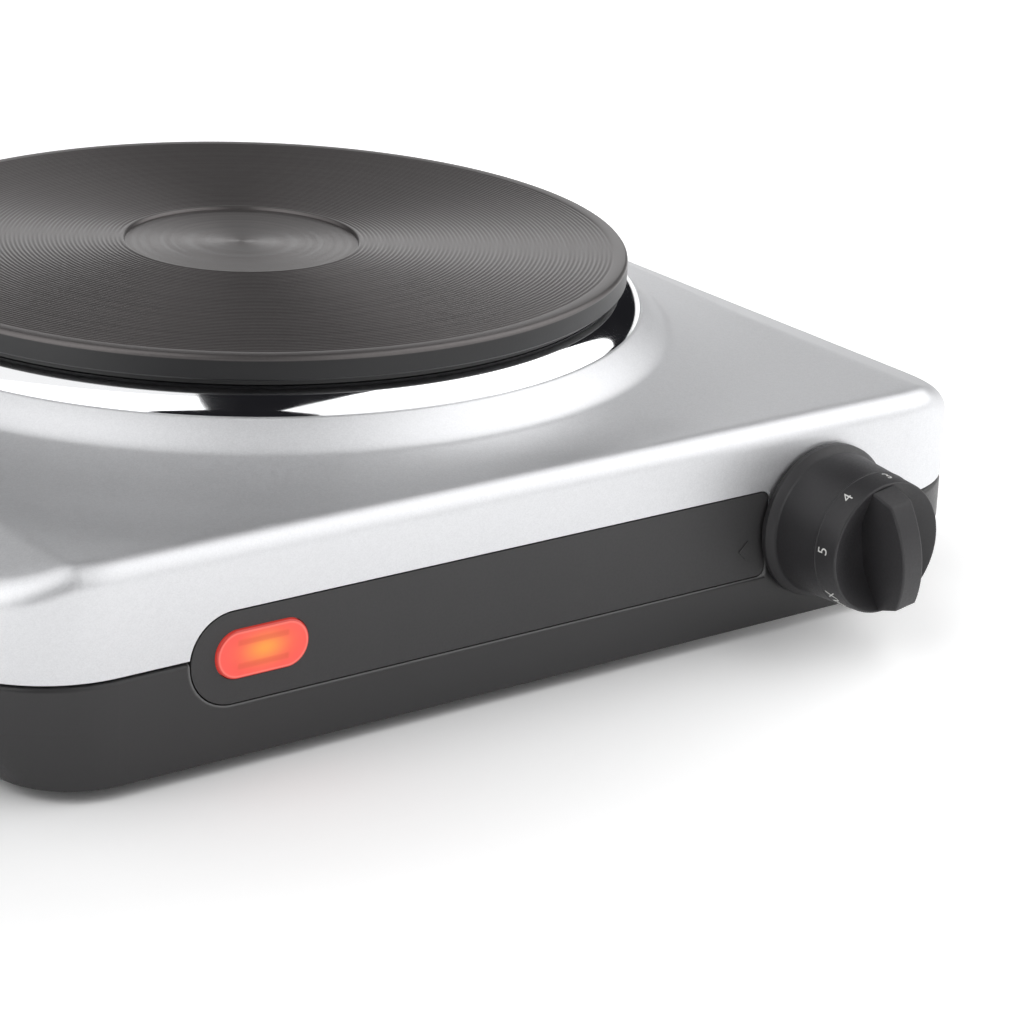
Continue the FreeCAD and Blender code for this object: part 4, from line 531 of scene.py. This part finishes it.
side_view = [(grip_reach * step / grip_steps, grip_front - grip_bow * (step / grip_steps) ** 2)
             for step in range(-grip_steps, grip_steps + 1)]
side_view += [(0.0149, 0.0226), (0.0128, 0.0205), (0.0070, 0.0180), (-0.0070, 0.0180), (-0.0128, 0.0205),
              (-0.0149, 0.0226)]
leaning = Matrix.Rotation(math.radians(grip_lean), 4, "Z")
bar = bmesh.new()
near_side, far_side = (
    [bar.verts.new(leaning @ Vector((side * (grip_half + grip_draft * (grip_front - depth)), reach, depth)))
     for reach, depth in side_view] for side in (-1, 1))
bar.faces.new(near_side)
bar.faces.new(far_side)
for step in range(len(side_view)):
    after = (step + 1) % len(side_view)
    bar.faces.new((near_side[step], near_side[after], far_side[after], far_side[step]))
bmesh.ops.recalc_face_normals(bar, faces=bar.faces)
sharp_edges = [edge for edge in bar.edges if edge.calc_face_angle() > math.radians(35)]
bmesh.ops.bevel(bar, geom=sharp_edges, offset=grip_edge, segments=2, profile=0.5, affect="EDGES")
bar_mesh = bpy.data.meshes.new("grip_bar")
bar.to_mesh(bar_mesh)
bar.free()
knob_shape.from_mesh(bar_mesh)
knob_shape.transform(knob_place)

knob_look = Look("charcoal_plastic", IOR=1.5)
grain = knob_look.noise(0.0005, detail=2)
knob_look.set(
    Base_Color=knob_look.shade(knob_look.noise(0.012), (0.021, 0.020, 0.022), (0.028, 0.027, 0.029)),
    Roughness=grain.ramp(0.3, 0.7, 0.44, 0.54))
knob_look.bump(grain, 0.12, 0.0001)
knob = new_piece("knob_moulding", knob_shape, knob_look, "knob", smooth=14)
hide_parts("control_knob")

# Knob scale: pad-printed in white round the front of the drum, a thin film that is read with the wall
# at the top. Each mark is bent round the drum at its own angle, in degrees.

print_d, print_size, print_film = 0.0190, 0.0039, 0.00003
marks = (("OFF", -69), ("1", -18), ("2", 32), ("3", 82), ("4", 127), ("5", 176), ("MAX", 231))

print_look = Look("scale_print", Roughness=0.5)
print_look.set(Base_Color=print_look.shade(print_look.noise(0.0004), (0.62, 0.62, 0.60), (0.80, 0.80, 0.78)))
scale_shape = bmesh.new()
for mark, angle in marks:
    text = bpy.data.curves.new("mark", "FONT")
    text.body, text.size, text.extrude, text.offset = mark, print_size, print_film, -print_film
    text.align_x, text.align_y = "CENTER", "CENTER"
    holder = bpy.data.objects.new("mark", text)
    bpy.context.scene.collection.objects.link(holder)
    mark_mesh = bpy.data.meshes.new_from_object(holder.evaluated_get(bpy.context.evaluated_depsgraph_get()))
    for vert in mark_mesh.vertices:
        depth = print_d - vert.co.y
        reach = drum_radius(depth) + vert.co.z + print_film
        turn = math.radians(angle) - vert.co.x / reach
        vert.co = knob_place @ Vector((reach * math.cos(turn), reach * math.sin(turn), depth))
    scale_shape.from_mesh(mark_mesh)
    bpy.data.objects.remove(holder)
new_piece("knob_scale", scale_shape, print_look, "knob")

# Inside pieces of metal: screws, nuts, brackets, blades, contacts, shield and coil. They are turned,
# pressed or drawn, with a rolled sheen, and are screwed, riveted or clamped in the base.

for slots, dark, light, rough in (
        (("zinc_steel", "bright_steel", "spring_steel"), (0.50, 0.51, 0.53), (0.62, 0.63, 0.65), 0.36),
        (("aluminised_sheet",), (0.58, 0.58, 0.57), (0.72, 0.72, 0.71), 0.48),
        (("brass_parts",), (0.60, 0.42, 0.16), (0.74, 0.54, 0.24), 0.30),
        (("contact_silver",), (0.80, 0.79, 0.76), (0.90, 0.89, 0.86), 0.28),
        (("coil_wire",), (0.22, 0.21, 0.20), (0.32, 0.30, 0.28), 0.50)):
    metal_look = Look(slots[0] + "_sheen", Metallic=1.0)
    sheen = metal_look.noise(0.002, detail=4)
    metal_look.set(Base_Color=metal_look.shade(sheen, dark, light),
                   Roughness=sheen.ramp(0.3, 0.7, rough - 0.06, rough + 0.08))
    metal_look.bump(sheen, 0.05, 0.0001)
    paint(metal_look, *slots)

# Other inside pieces: pressed ceramics, moulded plastics, the lamp's glass and the covers of the wires,
# each slightly mottled. They are clipped, screwed or plugged on to the metal pieces.

for slot, dark, light, rough in (
        ("white_ceramic", (0.70, 0.68, 0.63), (0.80, 0.78, 0.74), 0.45),
        ("filler_ceramic", (0.44, 0.41, 0.36), (0.56, 0.53, 0.48), 0.90),
        ("terminal_plastic", (0.72, 0.71, 0.68), (0.80, 0.79, 0.76), 0.42),
        ("holder_plastic", (0.66, 0.65, 0.61), (0.76, 0.75, 0.71), 0.45),
        ("lamp_glass", (0.72, 0.34, 0.18), (0.86, 0.46, 0.26), 0.10),
        ("wire_brown", (0.12, 0.05, 0.02), (0.17, 0.07, 0.03), 0.50),
        ("wire_black", (0.015, 0.015, 0.016), (0.025, 0.025, 0.026), 0.50),
        ("wire_blue", (0.02, 0.08, 0.34), (0.03, 0.11, 0.44), 0.50),
        ("wire_green", (0.10, 0.36, 0.05), (0.62, 0.58, 0.06), 0.50)):
    body_look = Look(slot + "_mottle", IOR=1.5)
    mottle = body_look.noise(0.0025)
    body_look.set(Base_Color=body_look.shade(mottle.ramp(0.35, 0.65), dark, light),
                  Roughness=mottle.ramp(0.3, 0.7, rough - 0.05, rough + 0.05))
    body_look.bump(mottle, 0.08, 0.0001)
    paint(body_look, slot)

# Camera: a long lens from the front left, a little above the plate and held slightly askew. Its place
# and turns are fitted to the ellipses and edges of the object.

yaw, pitch, roll, lens_mm = 0.65365, 0.35419, 0.0450, 122.46
camera_place = Matrix.Translation((-0.4348, -0.6648, 0.3033))
heading = Vector((math.sin(yaw), math.cos(yaw), 0))
aside = Vector((math.cos(yaw), -math.sin(yaw), 0))
zenith = Vector((0, 0, 1))
forward = heading * math.cos(pitch) - zenith * math.sin(pitch)
upward = heading * math.sin(pitch) + zenith * math.cos(pitch)
right = aside * math.cos(roll) + upward * math.sin(roll)
above = upward * math.cos(roll) - aside * math.sin(roll)
camera = bpy.data.objects.new("camera", bpy.data.cameras.new("camera"))
bpy.context.scene.collection.objects.link(camera)
camera.matrix_world = camera_place @ Matrix((right, above, -forward)).transposed().to_4x4()
camera.data.lens = lens_mm
bpy.context.scene.camera = camera

# Stage: a white table in a dim room. A soft light leans over each side of the object, with a dark
# gap between them overhead, and a weaker one stands behind. The table glows paler away from a point
# left of the object's middle, a painted shadow that deepens the real one there.

table_half, shadow_x, shadow_y = 4, -0.07, 0.04
floor_look = Look("white_table", Roughness=0.9, Base_Color=(0.93, 0.93, 0.93, 1), Emission_Strength=1.0)
# Painted shadow: the table's emission is weakest round (shadow_x, shadow_y) and grows towards white away from
# it.
far_off = ((floor_look.axis("X") - shadow_x) ** 2 + (floor_look.axis("Y") - shadow_y) ** 2) ** 0.5
glow_outside_painted_shadow = far_off.ramp(0.16, 0.31) * 0.65 + far_off.ramp(0.5, 1.2) * 0.35
floor_look.set(Emission_Color=floor_look.shade(glow_outside_painted_shadow, (0.02, 0.02, 0.02), (0.85, 0.85, 0.85)))
floor_mesh = bpy.data.meshes.new("floor")
floor_mesh.from_pydata([(x * table_half, y * table_half, 0) for x, y in ((-1, -1), (1, -1), (1, 1), (-1, 1))],
                       [], [(0, 1, 2, 3)])
floor_mesh.materials.append(floor_look.material)
floor = bpy.data.objects.new("floor", floor_mesh)
bpy.context.scene.collection.objects.link(floor)


def soft_light(name, start, across, along, brightness):
    """A flat light from its start corner along two edges. It shines away from across x along."""
    light = bpy.data.lights.new(name, "AREA")
    light.shape, light.size, light.size_y = "RECTANGLE", across.length, along.length
    light.energy = brightness * math.pi * across.length * along.length
    lamp = bpy.data.objects.new(name, light)
    bpy.context.scene.collection.objects.link(lamp)
    x_axis, y_axis = across.normalized(), along.normalized()
    axes = Matrix((x_axis, y_axis, x_axis.cross(y_axis))).transposed().to_4x4()
    lamp.matrix_world = Matrix.Translation(start + across / 2 + along / 2) @ axes


left_low, left_span = aside * -1.0 + zenith * 0.05, aside * 0.88 + zenith * 1.10
right_high, right_span = aside * 0.38 + zenith * 1.22, aside * 0.58 - zenith * 1.06
for name, start, span, nearest, reach, brightness in (
        ("left_front", left_low, left_span, -1.2, 1.0, 1.7),
        ("left_rear", left_low, left_span, -0.2, 0.6, 1.0),
        ("right_front", right_high, right_span, -1.2, 1.0, 1.25),
        ("right_rear", right_high, right_span, -0.2, 0.98, 1.9)):
    soft_light(name, start + heading * nearest, span, heading * reach, brightness)
soft_light("backdrop", aside * 0.42 + heading * 1.4 + zenith * 0.12, aside * -1.02, zenith * 0.55, 1.45)

world = bpy.data.worlds.new("room")
bpy.context.scene.world = world
world.use_nodes = True
room = Graph(world.node_tree)
seen = room.node("ShaderNodeLightPath", output="Is Camera Ray")
room.feed(world.node_tree.nodes["Background"].inputs["Color"],
          room.node("ShaderNodeMixRGB", {"Fac": seen, "Color1": (0.012, 0.012, 0.014, 1),
                                         "Color2": (1, 1, 1, 1)}))
bpy.context.scene.view_settings.view_transform = "Standard"
